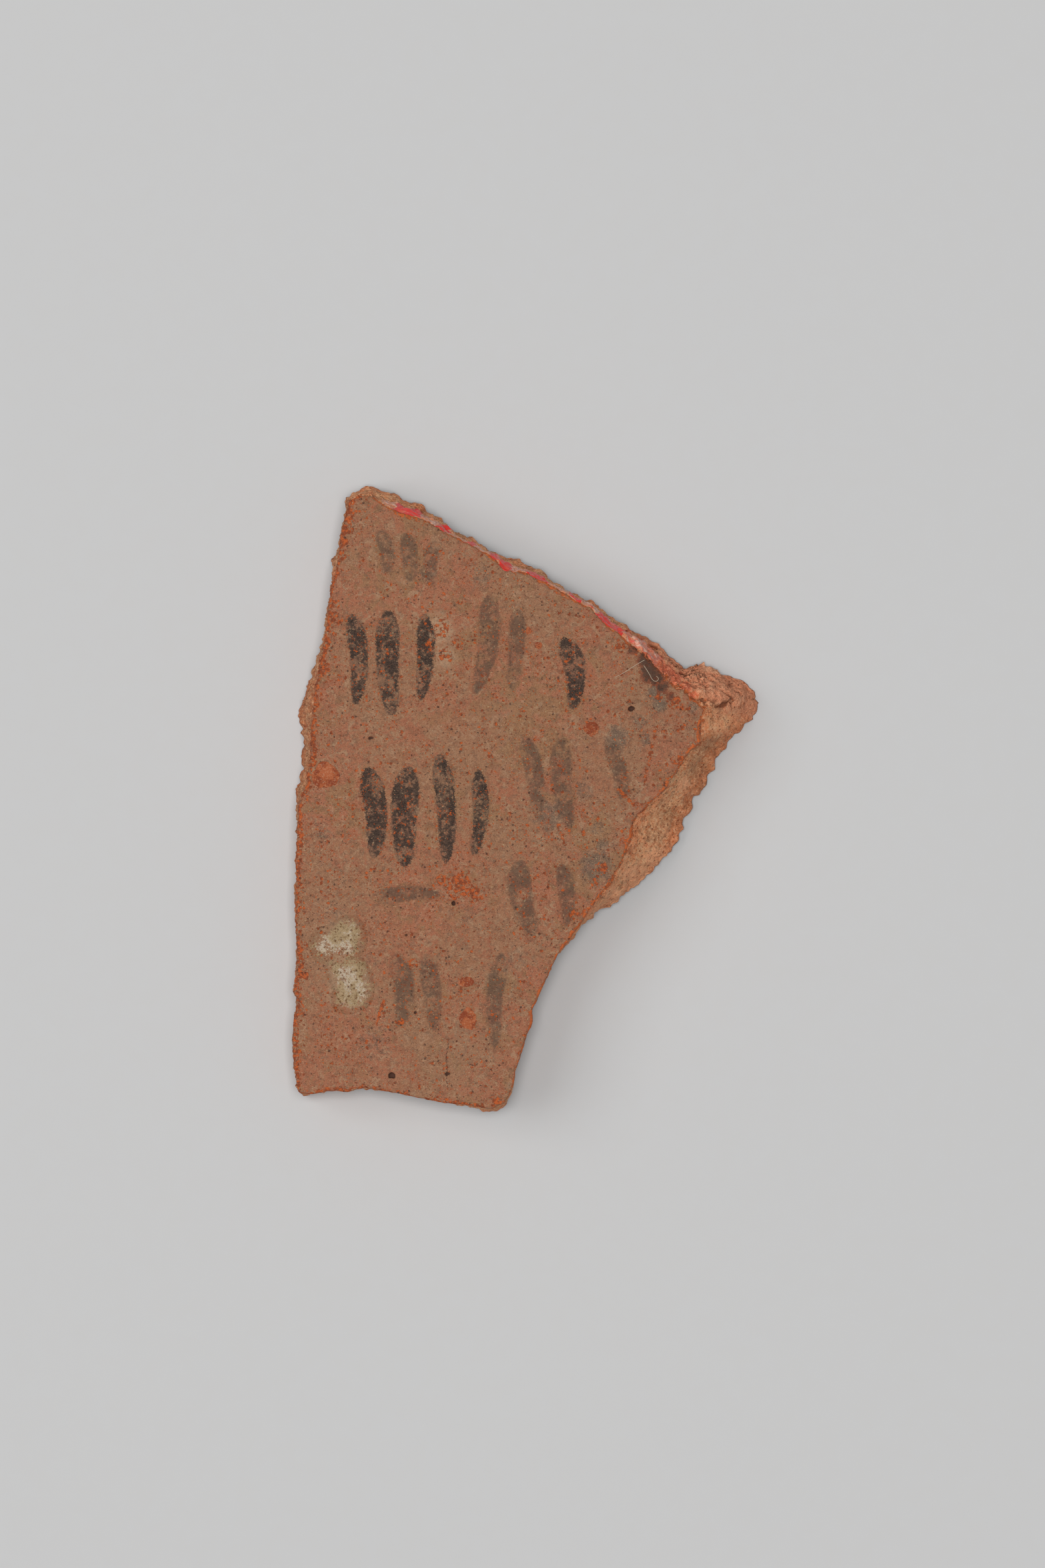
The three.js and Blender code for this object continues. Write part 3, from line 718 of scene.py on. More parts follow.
    def inner_level(self, points):
        """Height of the inside of the pot, with the potter's ridges round its axis."""
        sizes = self.sizes
        wander = noise(flat(points), RIDGE_WANDER, 61) * sizes.throwing_ridge_size * 0.35
        ridge = np.sin(2 * math.pi * (points[:, 1] + wander) / sizes.throwing_ridge_size)
        inner = smooth_step(0, RIDGE_START, ring_distance(points, self.sole)[0])
        bumps = rough_noise(flat(points), INNER_BUMP, 67, 3) * sizes.face_swell
        raised = ridge * sizes.throwing_ridge + bumps + sizes.throwing_ridge
        return self.level(points[:, 0], sizes.wall) + raised * inner

    @property
    def sole(self):
        """The outline of the inside of the pot."""
        return self.break_points(np.array([[self.sizes.wall]]))[0][0, :, :2]

    def face_marks(self, points):
        """What colours the writing face at each point, each from 0 to 1."""
        distance, nearest = ring_distance(points, self.rim)
        growth = np.clip(rough_noise(flat(points), RIM_STRETCH, 71, 3), -0.8, 1.6)
        width = (RIM_WIDTH + RIM_GROWTH * growth) * (1 + 1.3 * self.leftness[nearest])
        rim = 1 - smooth_step(0.4, 1.6, distance / width)
        scratch_away = np.min([path_distance(points, from_photo(path)) for path in SCRATCHES], axis=0)
        scratch = 0.85 * (1 - smooth_step(0.3, 1.4, scratch_away / (SCRATCH_WIDTH * PIXEL)))
        crack_away = path_distance(points, from_photo(CRACK))
        return {
            "rusty": np.maximum.reduce([rim, scratch, places(points, RUSTY_PLACES)]),
            # Painted highlight on the orange rim where it faces right
            "painted_highlight": rim * self.rightness[nearest],
            "pale": places(points, PALE_PLACES),
            "olive": places(points, OLIVE_PLACES),
            "pink": places(points, PINK_PLACES),
            "smoky": places(points, SMOKY_PLACES),
            "stained": places(points, STAINED_PLACES),
            "cracked": 1 - smooth_step(0.3, 1.2, crack_away / (CRACK_WIDTH * PIXEL)),
            "pitted": self.pit_share(points),
        }


def places(points, table):
    """How strongly each point lies in the soft round places of a table."""
    strongest = np.zeros(len(points))
    for x, y, radius, strength in table:
        away = np.linalg.norm(points - from_photo((x, y)), axis=1) / (radius * PIXEL)
        strongest = np.maximum(strongest, strength * (1 - smooth_step(0.35, 1.35, away)))
    return strongest


# Meshes


def add_piece(name, mesh, node):
    """Makes a piece that rides on the sherd and stands for a node of the construction."""
    piece = bpy.data.objects.new(name, mesh)
    bpy.context.scene.collection.objects.link(piece)
    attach(piece, "root")
    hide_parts(node)
    return piece


def marked_piece(name, points, faces, marks, material, node):
    """Makes a piece whose points carry marks for its material."""
    mesh = bpy.data.meshes.new(name)
    mesh.from_pydata(points.tolist(), [], faces)
    mesh.shade_smooth()
    for mark, values in marks.items():
        attribute = mesh.attributes.new(mark, "FLOAT", "POINT")
        attribute.data.foreach_set("value", np.asarray(values, np.float32))
    mesh.materials.append(material)
    mesh.validate()
    return add_piece(name, mesh, node)


def quads(index, closed):
    """Quads between the rows of a grid of point numbers, each row below the one before."""
    right = np.roll(index, -1, axis=1)
    faces = np.stack([index[:-1], index[1:], right[1:], right[:-1]], axis=-1)
    faces = faces if closed else faces[:, :-1]
    return faces.reshape(-1, 4).tolist()


def layer_piece(shape, name, top, bottom, material, slot):
    """One layer of the wall: its stretch of the break, closed above and below."""
    sizes = shape.sizes
    count = len(shape.front)
    rows = max(2, 1 + round((bottom - top) / sizes.row_step))
    strip = rows * count
    is_face = top == 0
    is_sole = bottom >= sizes.wall
    depth = np.linspace(top, bottom, rows)[:, None] * np.ones(count)
    if is_face:
        depth = shape.round + (bottom - shape.round) * np.linspace(0, 1, rows)[:, None]
    side, relief = shape.break_points(depth)
    upper_ring, lower_ring = side[0, :, :2], side[-1, :, :2]
    hidden = sizes.hidden_step
    lower_step = sizes.underside_step if is_sole else hidden
    if is_face:
        upper = face_points(shape, upper_ring)
    else:
        upper = points_inside(upper_ring, hidden, FILL_GAP * hidden)
    lower = points_inside(lower_ring, lower_step, FILL_GAP * lower_step)
    upper, upper_faces = triangulated(upper_ring, upper)
    lower, lower_faces = triangulated(lower_ring, lower)
    upper, lower = upper[count:], lower[count:]
    upper_level = shape.face_level(upper) if is_face else shape.level(upper[:, 0], top)
    lower_level = shape.inner_level(lower) if is_sole else shape.level(lower[:, 0], bottom)
    upper = np.column_stack([upper, upper_level])
    lower = np.column_stack([lower, lower_level])
    points = np.vstack([side.reshape(-1, 3), upper, lower])
    plan = points[:, :2]
    upper_faces += (strip - count) * (upper_faces >= count)
    lower_faces += (strip - count) + len(upper) * (lower_faces >= count)
    faces = quads(np.arange(strip).reshape(rows, count), True)
    faces += upper_faces.tolist() + lower_faces[:, ::-1].tolist()

    def on_break(values):
        return np.concatenate([values.ravel(), np.zeros(len(points) - strip)])

    from_top = np.concatenate([depth.ravel(), np.full(len(upper), top), np.full(len(lower), bottom)])
    marks = {
        "depth": from_top / sizes.wall,
        "standing": on_break(relief) / sizes.lump_height,
        "rugged": shape.ruggedness(plan),
        "fresh": places(plan, FRESH_PLACES),
        "dim": places(plan, DIM_PLACES),
        "reddened": places(plan, REDDENED_PLACES),
        "broken": on_break(np.ones(strip)),
        "weathered": on_break(np.tile(shape.leftness, rows)),
    }
    if is_face:
        marks.update(shape.face_marks(plan))
        marks["rusty"][:strip] = 1
        # The break strip of the skin gets the painted highlight where it faces right
        marks["painted_highlight"][:strip] = np.tile(shape.rightness, rows)
    piece = marked_piece(f"{name}_clay", points, faces, marks, material, name)
    seats = [] if is_face else [0]
    seats += [] if is_sole else [strip - count]
    sharpen_rings(piece.data, seats, count)


def sharpen_rings(mesh, starts, count):
    """Keeps the edges round a layer's seats crisp: a ring of count points from each start."""
    ends = np.empty(2 * len(mesh.edges), np.int32)
    mesh.edges.foreach_get("vertices", ends)
    ends = ends.reshape(-1, 2)
    crisp = np.zeros(len(ends), bool)
    for start in starts:
        crisp |= ((ends >= start) & (ends < start + count)).all(1)
    mesh.attributes.new("sharp_edge", "BOOLEAN", "EDGE").data.foreach_set("value", crisp)


def face_points(shape, ring):
    """Points inside the rim of the writing face, closer together near its worn edge and in its pits."""
    step = shape.sizes.face_step
    reach = EDGE_REACH * shape.sizes.edge_round
    sets = [points_inside(ring, step, reach + 0.5 * step)]
    for share in EDGE_RINGS:
        inset = ring - outward(ring) * (share * reach)
        away = ring_distance(inset, ring)[0]
        sets.append(inset[inside_ring(inset, ring) & (away > 0.9 * share * reach)])
    for x, y, half_width, half_height in PITS:
        middle = from_photo((x, y))
        radii = np.array((half_width, half_height)) * PIXEL * PIT_REACH
        sets = [s[np.linalg.norm((s - middle) / radii, axis=1) > 1] for s in sets]
        fine = grid_points(middle - radii, middle + radii, shape.sizes.pit_step)
        sets.append(fine[np.linalg.norm((fine - middle) / radii, axis=1) < 0.97])
    return np.vstack(sets)


def plan_outline(node):
    """The outline of a node's top, seen from above, as a ring of its corners."""
    mesh = frame["nodes"][node].data
    corners = {}
    edges = {}
    for polygon in mesh.polygons:
        if polygon.normal.z < 0.5:
            continue
        loop = [mesh.vertices[i].co.to_2d() for i in polygon.vertices]
        keys = [(round(co.x, 6), round(co.y, 6)) for co in loop]
        corners.update(zip(keys, loop))
        for a, b in zip(keys, keys[1:] + keys[:1]):
            edges[a, b] = edges.get((a, b), 0) + 1
    rim = {a: b for a, b in edges if (b, a) not in edges}
    start = min(rim)
    ring = [start]
    while rim[ring[-1]] != start:
        ring.append(rim[ring[-1]])
    return np.array([tuple(corners[key]) for key in ring])


def film_piece(shape, node, margin, feather, material, thickness=None):
    """A thin film on the writing face over a node's outline, with its mark from 0 outside to 1 inside."""
    sizes = shape.sizes
    ring = smoothed_ring(evenly_spaced(plan_outline(node), sizes.film_step), 2)
    border = ring + outward(ring) * margin
    border = border[inside_ring(border, shape.rim)]
    inner = points_inside(border, sizes.film_step, FILL_GAP * sizes.film_step)
    plan, top_faces = triangulated(border, inner)
    count = len(plan)
    away = ring_distance(plan, ring)[0] * np.where(inside_ring(plan, ring), 1, -1)
    mark = np.clip(0.5 + away / (2 * feather), 0, 1)
    base = shape.face_level(plan)
    risen = smooth_step(-margin, -0.4 * margin, away)
    lift = sizes.film_lift + (thickness(plan, away) if thickness else 0)
    top = base + lift * risen - sizes.film_dip * (1 - risen)
    points = np.vstack([np.column_stack([plan, top]), np.column_stack([plan, base - sizes.film_sink])])
    rim = len(border)
    sides = [(i, count + i, count + (i + 1) % rim, (i + 1) % rim) for i in range(rim)]
    faces = top_faces.tolist() + (top_faces[:, ::-1] + count).tolist() + sides
    marks = {key: np.tile(values, 2) for key, values in shape.face_marks(plan).items()}
    marks["cover"] = np.tile(mark, 2)
    marked_piece(f"{node}_film", points, faces, marks, material, node)


def grain_piece(shape, node, material):
    """A grain of crushed sherd that sits in the writing face and is worn level with it."""
    low, high = (np.array(corner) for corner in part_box(node))
    middle = (low + high) / 2
    half = (high - low) / 2
    seed = sorted(frame["nodes"]).index(node)
    ball = bmesh.new()
    bmesh.ops.create_icosphere(ball, subdivisions=5, radius=1)
    points = np.array([tuple(vertex.co) for vertex in ball.verts])
    faces = [tuple(vertex.index for vertex in face.verts) for face in ball.faces]
    ball.free()
    swollen = 1 + GRAIN_LUMPS * rough_noise(points, GRAIN_LUMP_SIZE, 80 + seed, 4)
    points = points * swollen[:, None] * (half[0], half[1], 2 * half[2]) + (middle[0], middle[1], high[2])
    crown = GRAIN_CROWN * (1 - np.linalg.norm((points[:, :2] - middle[:2]) / half[:2], axis=1))
    chipped = rough_noise(points, GRAIN_CHIP_SIZE, 90 + seed, 3) * GRAIN_CHIP
    top = shape.face_level(points[:, :2]) + GRAIN_STAND + crown + chipped
    points[:, 2] = np.minimum(points[:, 2], top)
    marked_piece(f"{node}_clay", points, faces, {}, material, node)


def break_film(shape, node, depths, height, seed, material):
    """A film on the top break, over a node's width and between two depths, with a ragged edge."""
    sizes = shape.sizes
    low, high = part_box(node)
    top_break = (shape.out[:, 1] > 0.2) & (shape.front[:, 0] > low.x) & (shape.front[:, 0] < high.x)
    found = np.flatnonzero(top_break)
    start, stop = found.min(), found.max() + 1
    wide = stop - start
    deep = depths[1] - depths[0]
    rows = max(4, 1 + round(deep / (sizes.row_step / 2)))
    depth = np.linspace(*depths, rows)[:, None] * np.ones(len(shape.front))
    seat = shape.break_points(depth)[0][:, start:stop]
    along = np.linspace(0, 1, wide)[None, :]
    down = np.linspace(0, 1, rows)[:, None]
    from_end = np.minimum(along, 1 - along) * (high.x - low.x) / COAT_END
    from_side = np.minimum(down, 1 - down) * deep / COAT_SIDE
    ragged = rough_noise(seat, COAT_RAGS, seed, 3)
    cover = np.clip(np.minimum(from_end, from_side), 0, 1) + COAT_RAGGED * ragged
    lift = height * smooth_step(0.1, 0.75, cover) - COAT_SINK * height
    outer = seat.copy()
    outer[..., :2] += shape.out[start:stop] * lift[..., None]
    outer[..., 2] += lift * 0.5
    inner = seat.copy()
    inner[..., :2] -= shape.out[start:stop] * (COAT_FOOT * height)
    points = np.vstack([outer.reshape(-1, 3), inner.reshape(-1, 3)])
    index = np.arange(rows * wide).reshape(rows, wide)
    edge = np.concatenate([index[0], index[1:, -1], index[-1, -2::-1], index[-2:0:-1, 0]])
    after = np.roll(edge, -1)
    sides = np.column_stack([edge, after, after + index.size, edge + index.size])
    faces = quads(index, False) + quads(index[::-1] + index.size, False) + sides.tolist()
    plan = seat.reshape(-1, 3)[:, :2]
    flat_marks = {
        "cover": cover,
        "rugged": shape.ruggedness(plan),
        "reddened": places(plan, REDDENED_PLACES),
        "depth": depth[:, start:stop] / sizes.wall,
        "along": np.linspace(0, wide * sizes.ring_step, wide) * np.ones((rows, 1)) * 1000,
        "down": depth[:, start:stop] * 1000,
    }
    marks = {mark: np.tile(values.ravel(), 2) for mark, values in flat_marks.items()}
    marked_piece(f"{node}_coat", points, faces, marks, material, node)


def hair_piece(shape, node, path, material):
    """A hair that lies on the writing face along a path of photograph pixels."""
    radius = shape.sizes.hair_radius
    path = from_photo(path)
    bends = bpy.data.curves.new(f"{node}_path", "CURVE")
    spline = bends.splines.new("BEZIER")
    spline.bezier_points.add(len(path) - 1)
    levels = shape.face_level(path) + 1.2 * radius
    for point, (x, y), z in zip(spline.bezier_points, path, levels):
        point.co = (x, y, z)
        point.handle_left_type = point.handle_right_type = "AUTO"
    bends.dimensions = "3D"
    bends.resolution_u = 10
    bends.bevel_depth = radius
    bends.bevel_resolution = 3
    bends.use_fill_caps = True
    bends.materials.append(material)
    curve = bpy.data.objects.new(f"{node}_path", bends)
    bpy.context.scene.collection.objects.link(curve)
    mesh = bpy.data.meshes.new_from_object(curve)
    bpy.data.objects.remove(curve)
    add_piece(f"{node}_fibre", mesh, node)


# Shaders


class Wire:
    """A node's output, for sums that are written as Python expressions."""

    def __init__(self, graph, socket):
        self.graph = graph
        self.socket = socket

    def other(self, name):
        """Another output of the same node."""
        return Wire(self.graph, self.socket.node.outputs[name])

    def __add__(self, value):
        return self.graph.maths("ADD", self, value)

    def __radd__(self, value):
        return self.graph.maths("ADD", value, self)

    def __sub__(self, value):
        return self.graph.maths("SUBTRACT", self, value)

    def __rsub__(self, value):
        return self.graph.maths("SUBTRACT", value, self)

    def __mul__(self, value):
        return self.graph.maths("MULTIPLY", self, value)

    def __rmul__(self, value):
        return self.graph.maths("MULTIPLY", value, self)

    def either(self, value):
        """The larger of two values."""
        return self.graph.maths("MAXIMUM", self, value)

    def step(self, low, high):
        """0 at low and 1 at high, with a smooth rise between them."""
        inputs = {"Value": self, "From Min": low, "From Max": high}
        return self.graph.node("ShaderNodeMapRange", {"interpolation_type": "SMOOTHSTEP"}, inputs)


class Finish:
    """A material and the nodes that make it."""

    def __init__(self, name):
        self.material = bpy.data.materials.new(name)
        self.material.use_nodes = True
        self.tree = self.material.node_tree
        self.shader = next(n for n in self.tree.nodes if n.type == "BSDF_PRINCIPLED")
        where = self.node("ShaderNodeTexCoord", {}, {}, "Object")
        self.place = self.vector_maths("MULTIPLY", where, SHADER_SCALE)

    def node(self, kind, settings, inputs, output=0):
        made = self.tree.nodes.new(kind)
        for key, value in settings.items():
            setattr(made, key, value)
        for key, value in inputs.items():
            self.join(made.inputs[key], value)
        return Wire(self, made.outputs[output])

    def join(self, socket, value):
        if isinstance(value, Wire):
            self.tree.links.new(value.socket, socket)
        elif socket.type == "RGBA":
            socket.default_value = (*value[:3], 1)
        else:
            socket.default_value = value

    def maths(self, operation, *values):
        return self.node("ShaderNodeMath", {"operation": operation}, dict(enumerate(values)))

    def vector_maths(self, operation, *values):
        return self.node("ShaderNodeVectorMath", {"operation": operation}, dict(enumerate(values)))

    def mark(self, name):
        """A value that the mesh carries at its points."""
        return self.node("ShaderNodeAttribute", {"attribute_name": name}, {}, "Fac")

    def shifted(self, shift):
        """The place, far enough along that noise there is unlike the noise here."""
        return self.vector_maths("ADD", self.place, (shift, shift, shift))

    def noise(self, size, detail, rough=0.5, shift=0, twist=0, place=None):
        """Noise from -0.5 to 0.5, with lumps of a size in millimetres that a twist draws into wisps."""
        inputs = {"Vector": place or self.shifted(shift), "Scale": 1 / size}
        inputs.update({"Detail": detail, "Roughness": rough, "Distortion": twist})
        return self.node("ShaderNodeTexNoise", {}, inputs, "Fac") - 0.5

    def flakes(self, size, density, shift, reach=0.5):
        """Crisp flakes of a size in millimetres, on a share of the surface that may change over it."""
        where = self.shifted(shift)
        inputs = {"Vector": where, "Scale": FLAKE_SWIRLS / size, "Detail": 2}
        swirl = self.node("ShaderNodeTexNoise", {}, inputs, "Color")
        pull = FLAKE_PULL * size
        ragged = self.vector_maths("MULTIPLY_ADD", swirl, (pull, pull, pull), where)
        cells = self.node("ShaderNodeTexVoronoi", {}, {"Vector": ragged, "Scale": 1 / size}, "Distance")
        chance = self.node("ShaderNodeSeparateColor", {}, {0: cells.other("Color")})
        return (density - chance).step(0, 0.02) * (reach - cells).step(0, 0.1)

    def mix(self, share, first, second):
        """A colour between two colours."""
        return self.node("ShaderNodeMix", {"data_type": "RGBA"}, {0: share, 6: first, 7: second}, 2)

    def coated(self, base, *coats):
        """A colour with coats over it, each a share of the surface and a colour."""
        for share, coat in coats:
            base = self.mix(share, base, coat)
        return base

    def finished(self, base, roughness, bump=None, height=0, shine=0.5, gloss=0):
        """The material, with its colour and its bumps, and how rough, shiny and glossy it is."""
        values = {
            "Base Color": base,
            "Roughness": roughness,
            "Specular IOR Level": shine,
            "Coat Weight": gloss,
            "Coat Roughness": GLOSS_ROUGHNESS,
        }
        if bump is not None:
            inputs = {"Strength": 1, "Distance": height, "Height": bump}
            values["Normal"] = self.node("ShaderNodeBump", {}, inputs, "Normal")
        for name, value in values.items():
            self.join(self.shader.inputs[name], value)
        return self.material


def skin_ground(finish, colours):
    """Colour of the pot's smoothed skin, and its coarse and fine grain."""
    slow = finish.noise(9, 2)
    cloud = finish.noise(2.6, 3, 0.6, twist=0.6)
    mottle = finish.noise(0.7, 4, 0.7)
    wisp = finish.noise(1.1, 4, 0.72, shift=37, twist=1.0)
    grain = finish.noise(0.13, 3, 0.85)
    grey = finish.noise(0.4, 3, 0.75, shift=55)
    warm = (slow + wisp * 1.3).step(-0.1, 0.1)
    olive = (cloud + slow * 0.5 + wisp * 0.9 + finish.mark("olive") * 0.2).step(0.03, 0.23)
    pink = (finish.mark("pink") * 0.5 + mottle + cloud).step(0.1, 0.5)
    pale = (finish.mark("pale") * 0.42 + grain * 0.9 + mottle).step(0.14, 0.4)
    smoky = (finish.mark("smoky") * 0.5 + grain * 0.7 + mottle * 0.8).step(0.08, 0.42)
    base = finish.coated(
        colours.skin_brown,
        (warm, colours.skin_warm),
        (olive * 0.6, colours.skin_olive),
        (pink * 0.65, colours.skin_warm),
        (pale * 0.75, colours.skin_pale),
        (smoky * 0.85, colours.smoke),
        (grey.step(0.03, 0.16) * 0.4, colours.smoke),
        (mottle.step(0, 0.12) * 0.36, colours.skin_shade),
        (wisp.step(-0.04, -0.16) * 0.32, colours.skin_pale),
        (wisp.step(0.04, 0.16) * 0.25, colours.skin_shade),
        (grain.step(0, 0.16) * 0.52, colours.skin_shade),
        (grain.step(-0.02, -0.17) * 0.42, colours.skin_pale),
    )
    return base, mottle, grain


def skin_specks(finish, colours, base, mottle, grain):
    """The skin with its orange flakes, dark and pale grains, stain, crack and pits, with painted shade in
    the pits and a painted highlight on the rim where it faces right.
    """
    worn = finish.mark("rusty")
    # Painted highlight: this mark is strong on the rim where it faces right
    painted_highlight = finish.mark("painted_highlight")
    crowd = finish.noise(3.6, 3, 0.6) + 0.14
    tint = finish.noise(0.45, 2, 0.7, shift=23)
    small = finish.flakes(0.22, crowd * 0.9 + worn * 0.3, 3)
    medium = finish.flakes(0.42, crowd * 0.3 + 0.03, 19)
    large = finish.flakes(0.42, (worn - 0.1) * 1.35, 11, 0.66)
    rusty = (small * 0.8).either(medium).either(large)
    # Orange flakes, deeper at random, with a painted highlight on the rim where it faces right
    rust = finish.coated(
        colours.rust,
        (tint.step(-0.08, 0.06) * (1 - painted_highlight * 0.7), colours.rust_deep),
        (painted_highlight * (0.9 - tint.step(-0.1, 0.1) * 0.5), colours.rust_painted_highlight),
    )
    freckles = finish.flakes(0.32, crowd * 0.14 + 0.016, 53, 0.45)
    dark = finish.noise(0.24, 2, shift=31).step(0.165, 0.21).either(freckles)
    light = finish.noise(0.24, 2, shift=47).step(0.18, 0.22)
    ragged = finish.noise(0.6, 4, 0.75, shift=67, twist=0.8) * 1.6 + grain * 0.6
    stained = (finish.mark("stained") + ragged).step(0.3, 0.56)
    deep = (finish.mark("stained") + mottle * 2 + grain).step(0.58, 0.9)
    stain = finish.mix(deep * 0.9, colours.stain, colours.stain_dark)
    cracked = (finish.mark("cracked") + grain * 1.4).step(0.5, 0.8)
    base = finish.coated(
        base,
        (rusty * 0.92, rust),
        (dark * 0.8, colours.dark_speck_and_pit_shade),
        (light * 0.6, colours.lime),
        (stained * 0.88, stain),
        (cracked * 0.7, colours.dark_speck_and_pit_shade),
        # Painted shade: the pits are coloured dark
        (finish.mark("pitted").step(0.2, 0.7) * 0.95, colours.dark_speck_and_pit_shade),
    )
    relief = grain * 0.7 + mottle * 0.8 - dark * 0.8 - rusty * 0.8
    return base, relief, stained


def skin_surface(finish, colours, bared):
    """The skin, and the clay of the break on at least a bared share of the skin's broken edge."""
    base, relief, stained = skin_specks(finish, colours, *skin_ground(finish, colours))
    clay, clay_relief = break_surface(finish, colours)
    patch = finish.noise(0.9, 3, 0.7, shift=79).step(-0.04, 0.02)
    broken = finish.mark("broken").step(0.5, 0.9) * patch.either(bared)
    return finish.mix(broken, base, clay), relief + clay_relief * broken, stained


def break_surface(finish, colours):
    """Colour and relief of the broken clay: sandy in the middle of the wall and orange towards its faces,
    with painted shade in the low places of its relief and a painted highlight on its high places.
    """
    depth = finish.mark("depth")
    rugged = finish.mark("rugged")
    standing = finish.mark("standing")
    slow = finish.noise(5.0, 2)
    medium = finish.noise(1.1, 4, 0.7, twist=0.5)
    mottle = finish.noise(0.45, 4, 0.72)
    patch = finish.noise(0.8, 3, 0.65, shift=43, twist=0.4)
    grain = finish.noise(0.17, 2, 0.8)
    dusty = finish.noise(1.3, 4, 0.75, shift=21, twist=0.5)
    from_middle = finish.maths("ABSOLUTE", depth - 0.45)
    heart = (medium * 1.2 + slow * 0.6 - from_middle).step(-0.45, -0.1)
    greyed = (patch * 3.0 + slow * 1.2 - depth).step(-0.16, 0.14)
    fresh = (finish.mark("fresh") * 0.6 + mottle + patch).step(0.15, 0.5)
    dim = (finish.mark("dim") * 0.6 + mottle * 1.2 + patch * 1.2).step(0.1, 0.55)
    reddened = (finish.mark("reddened") * 0.7 + mottle * 1.3 + patch).step(0.1, 0.6)
    dark = finish.flakes(0.26, 0.1, 31)
    under_skin = (mottle * 0.08 - depth).step(-0.04, -0.018)
    base = finish.coated(
        colours.break_orange,
        (heart, colours.break_tan),
        (greyed * 0.75, colours.break_grey),
        (mottle.step(0, 0.08) * 0.45, colours.break_orange),
        (patch.step(0.02, 0.1) * 0.6, colours.break_orange),
        (mottle.step(-0.04, -0.13) * 0.45, colours.break_pale),
        (patch.step(-0.04, -0.14) * 0.5, colours.break_dark),
        (dusty.step(0.03, 0.13) * 0.46, colours.break_dim),
        (rugged * 0.75, colours.break_flushed),
        (fresh * 0.8, colours.break_fresh),
        (dim * 0.45, colours.break_dim),
        (reddened * 0.7, colours.break_red),
        (finish.mark("weathered") * (mottle * 1.6 + 0.45), colours.break_dark),
        (grain.step(0, 0.18) * 0.42, colours.break_dark),
        (grain.step(-0.02, -0.17) * 0.4, colours.break_pale),
        # Paler on the high places of the relief and darker in its low places: painted highlight and painted
        # shade, with wear and dirt
        ((standing + grain * 1.2).step(0.3, 1.3) * 0.35, colours.break_pale),
        ((standing + grain * 1.4).step(-0.35, -1.1) * 0.8, colours.break_dark),
        (finish.flakes(0.36, 0.14, 15) * 0.55, colours.rust),
        (dark * 0.7, colours.break_dark),
        # Orange clay just under the skin, brighter as a painted highlight where the edge faces right
        (
            under_skin * (0.85 - mottle.step(0, 0.1) * 0.4),
            finish.mix(finish.mark("painted_highlight") * 0.7, colours.rust, colours.rust_painted_highlight),
        ),
    )
    bumps = grain * 1.2 + mottle * 1.9 + medium * 3.6 + patch * 1.2 - dark
    return base, (bumps + BUMP_MIDDLE) * (rugged * 0.75 + 0.75)


def skin_finish(colours):
    finish = Finish("sherd skin")
    base, relief, stained = skin_surface(finish, colours, 0)
    return finish.finished(base, roughness=0.86 - stained * 0.12, bump=relief, height=0.00003, shine=0.3)


def inner_skin_finish(colours):
    finish = Finish("sherd inside")
    base, relief = skin_surface(finish, colours, 1)[:2]
    return finish.finished(base, roughness=0.88, bump=relief, height=0.00004, shine=0.3)


def break_finish(name, colours):
    finish = Finish(name)
    base, relief = break_surface(finish, colours)
    return finish.finished(base, roughness=0.92, bump=relief, height=0.00008, shine=0.25)


def grog_finish(colours):
    finish = Finish("grog")
    mottle = finish.noise(0.5, 3, 0.7)
    grain = finish.noise(0.2, 2, 0.8)
    broad = finish.noise(1.4, 3, 0.6, shift=13)
    base = finish.coated(
        colours.grog,
        ((mottle + broad * 1.2).step(-0.06, 0.1), colours.grog_dark),
        (broad.step(-0.02, -0.1) * 0.25, colours.grog_pale),
        (finish.flakes(0.3, 0.12, 5) * 0.8, colours.rust_deep),
        (grain.step(0, 0.2) * 0.4, colours.skin_shade),
        (grain.step(-0.04, -0.16) * 0.45, colours.skin_pale),
    )
    relief = broad * 2 + mottle + grain * 0.7
    return finish.finished(base, roughness=0.9, bump=relief, height=0.00007, shine=0.25)


def ink_finish(name, colours, strength):
    """Worn ink over the skin: strong ink breaks up into grains, and weak ink is an even shade."""
    finish = Finish(name)
    base, mottle, grain = skin_ground(finish, colours)
    fine = finish.noise(0.13, 2, 0.8, shift=61)
    specks = finish.noise(0.36, 3, 0.8, shift=63)
    patches = finish.noise(1.6, 3, 0.6, shift=71, twist=0.5)
    cover = finish.mark("cover")
    soft = 0.34 - 0.26 * strength
    ragged = specks * 1.5 + fine * 0.9 + patches * 1.6
    inside = (cover + ragged).step(0.5 - soft, 0.5 + soft) * cover.step(0, 0.3)
    flaked = finish.flakes(0.3, patches * 1.3 + 0.13, 67)
    bared = finish.flakes(0.26, patches * 0.9 + 0.07, 69)
    thick = (specks * 0.6 + fine * 0.5 + patches * 0.9).step(0.11, -0.02) * (1 - flaked * 0.9)
    wash = 0.3 + 0.35 * strength - flaked * (0.3 * strength) - patches * 1.4 - specks * 0.8
    black = finish.mix(fine.step(-0.1, 0.1), colours.ink, colours.ink_black)
    base = finish.coated(
        base,
        (inside * wash, colours.ink_thin),
        (inside * thick * (0.2 + 0.74 * strength), black),
        (inside * bared * (0.6 * strength), colours.rust),
    )
    base, relief = skin_specks(finish, colours, base, mottle, grain)[:2]
    return finish.finished(base, roughness=0.85, bump=relief, height=0.00002, shine=0.2)


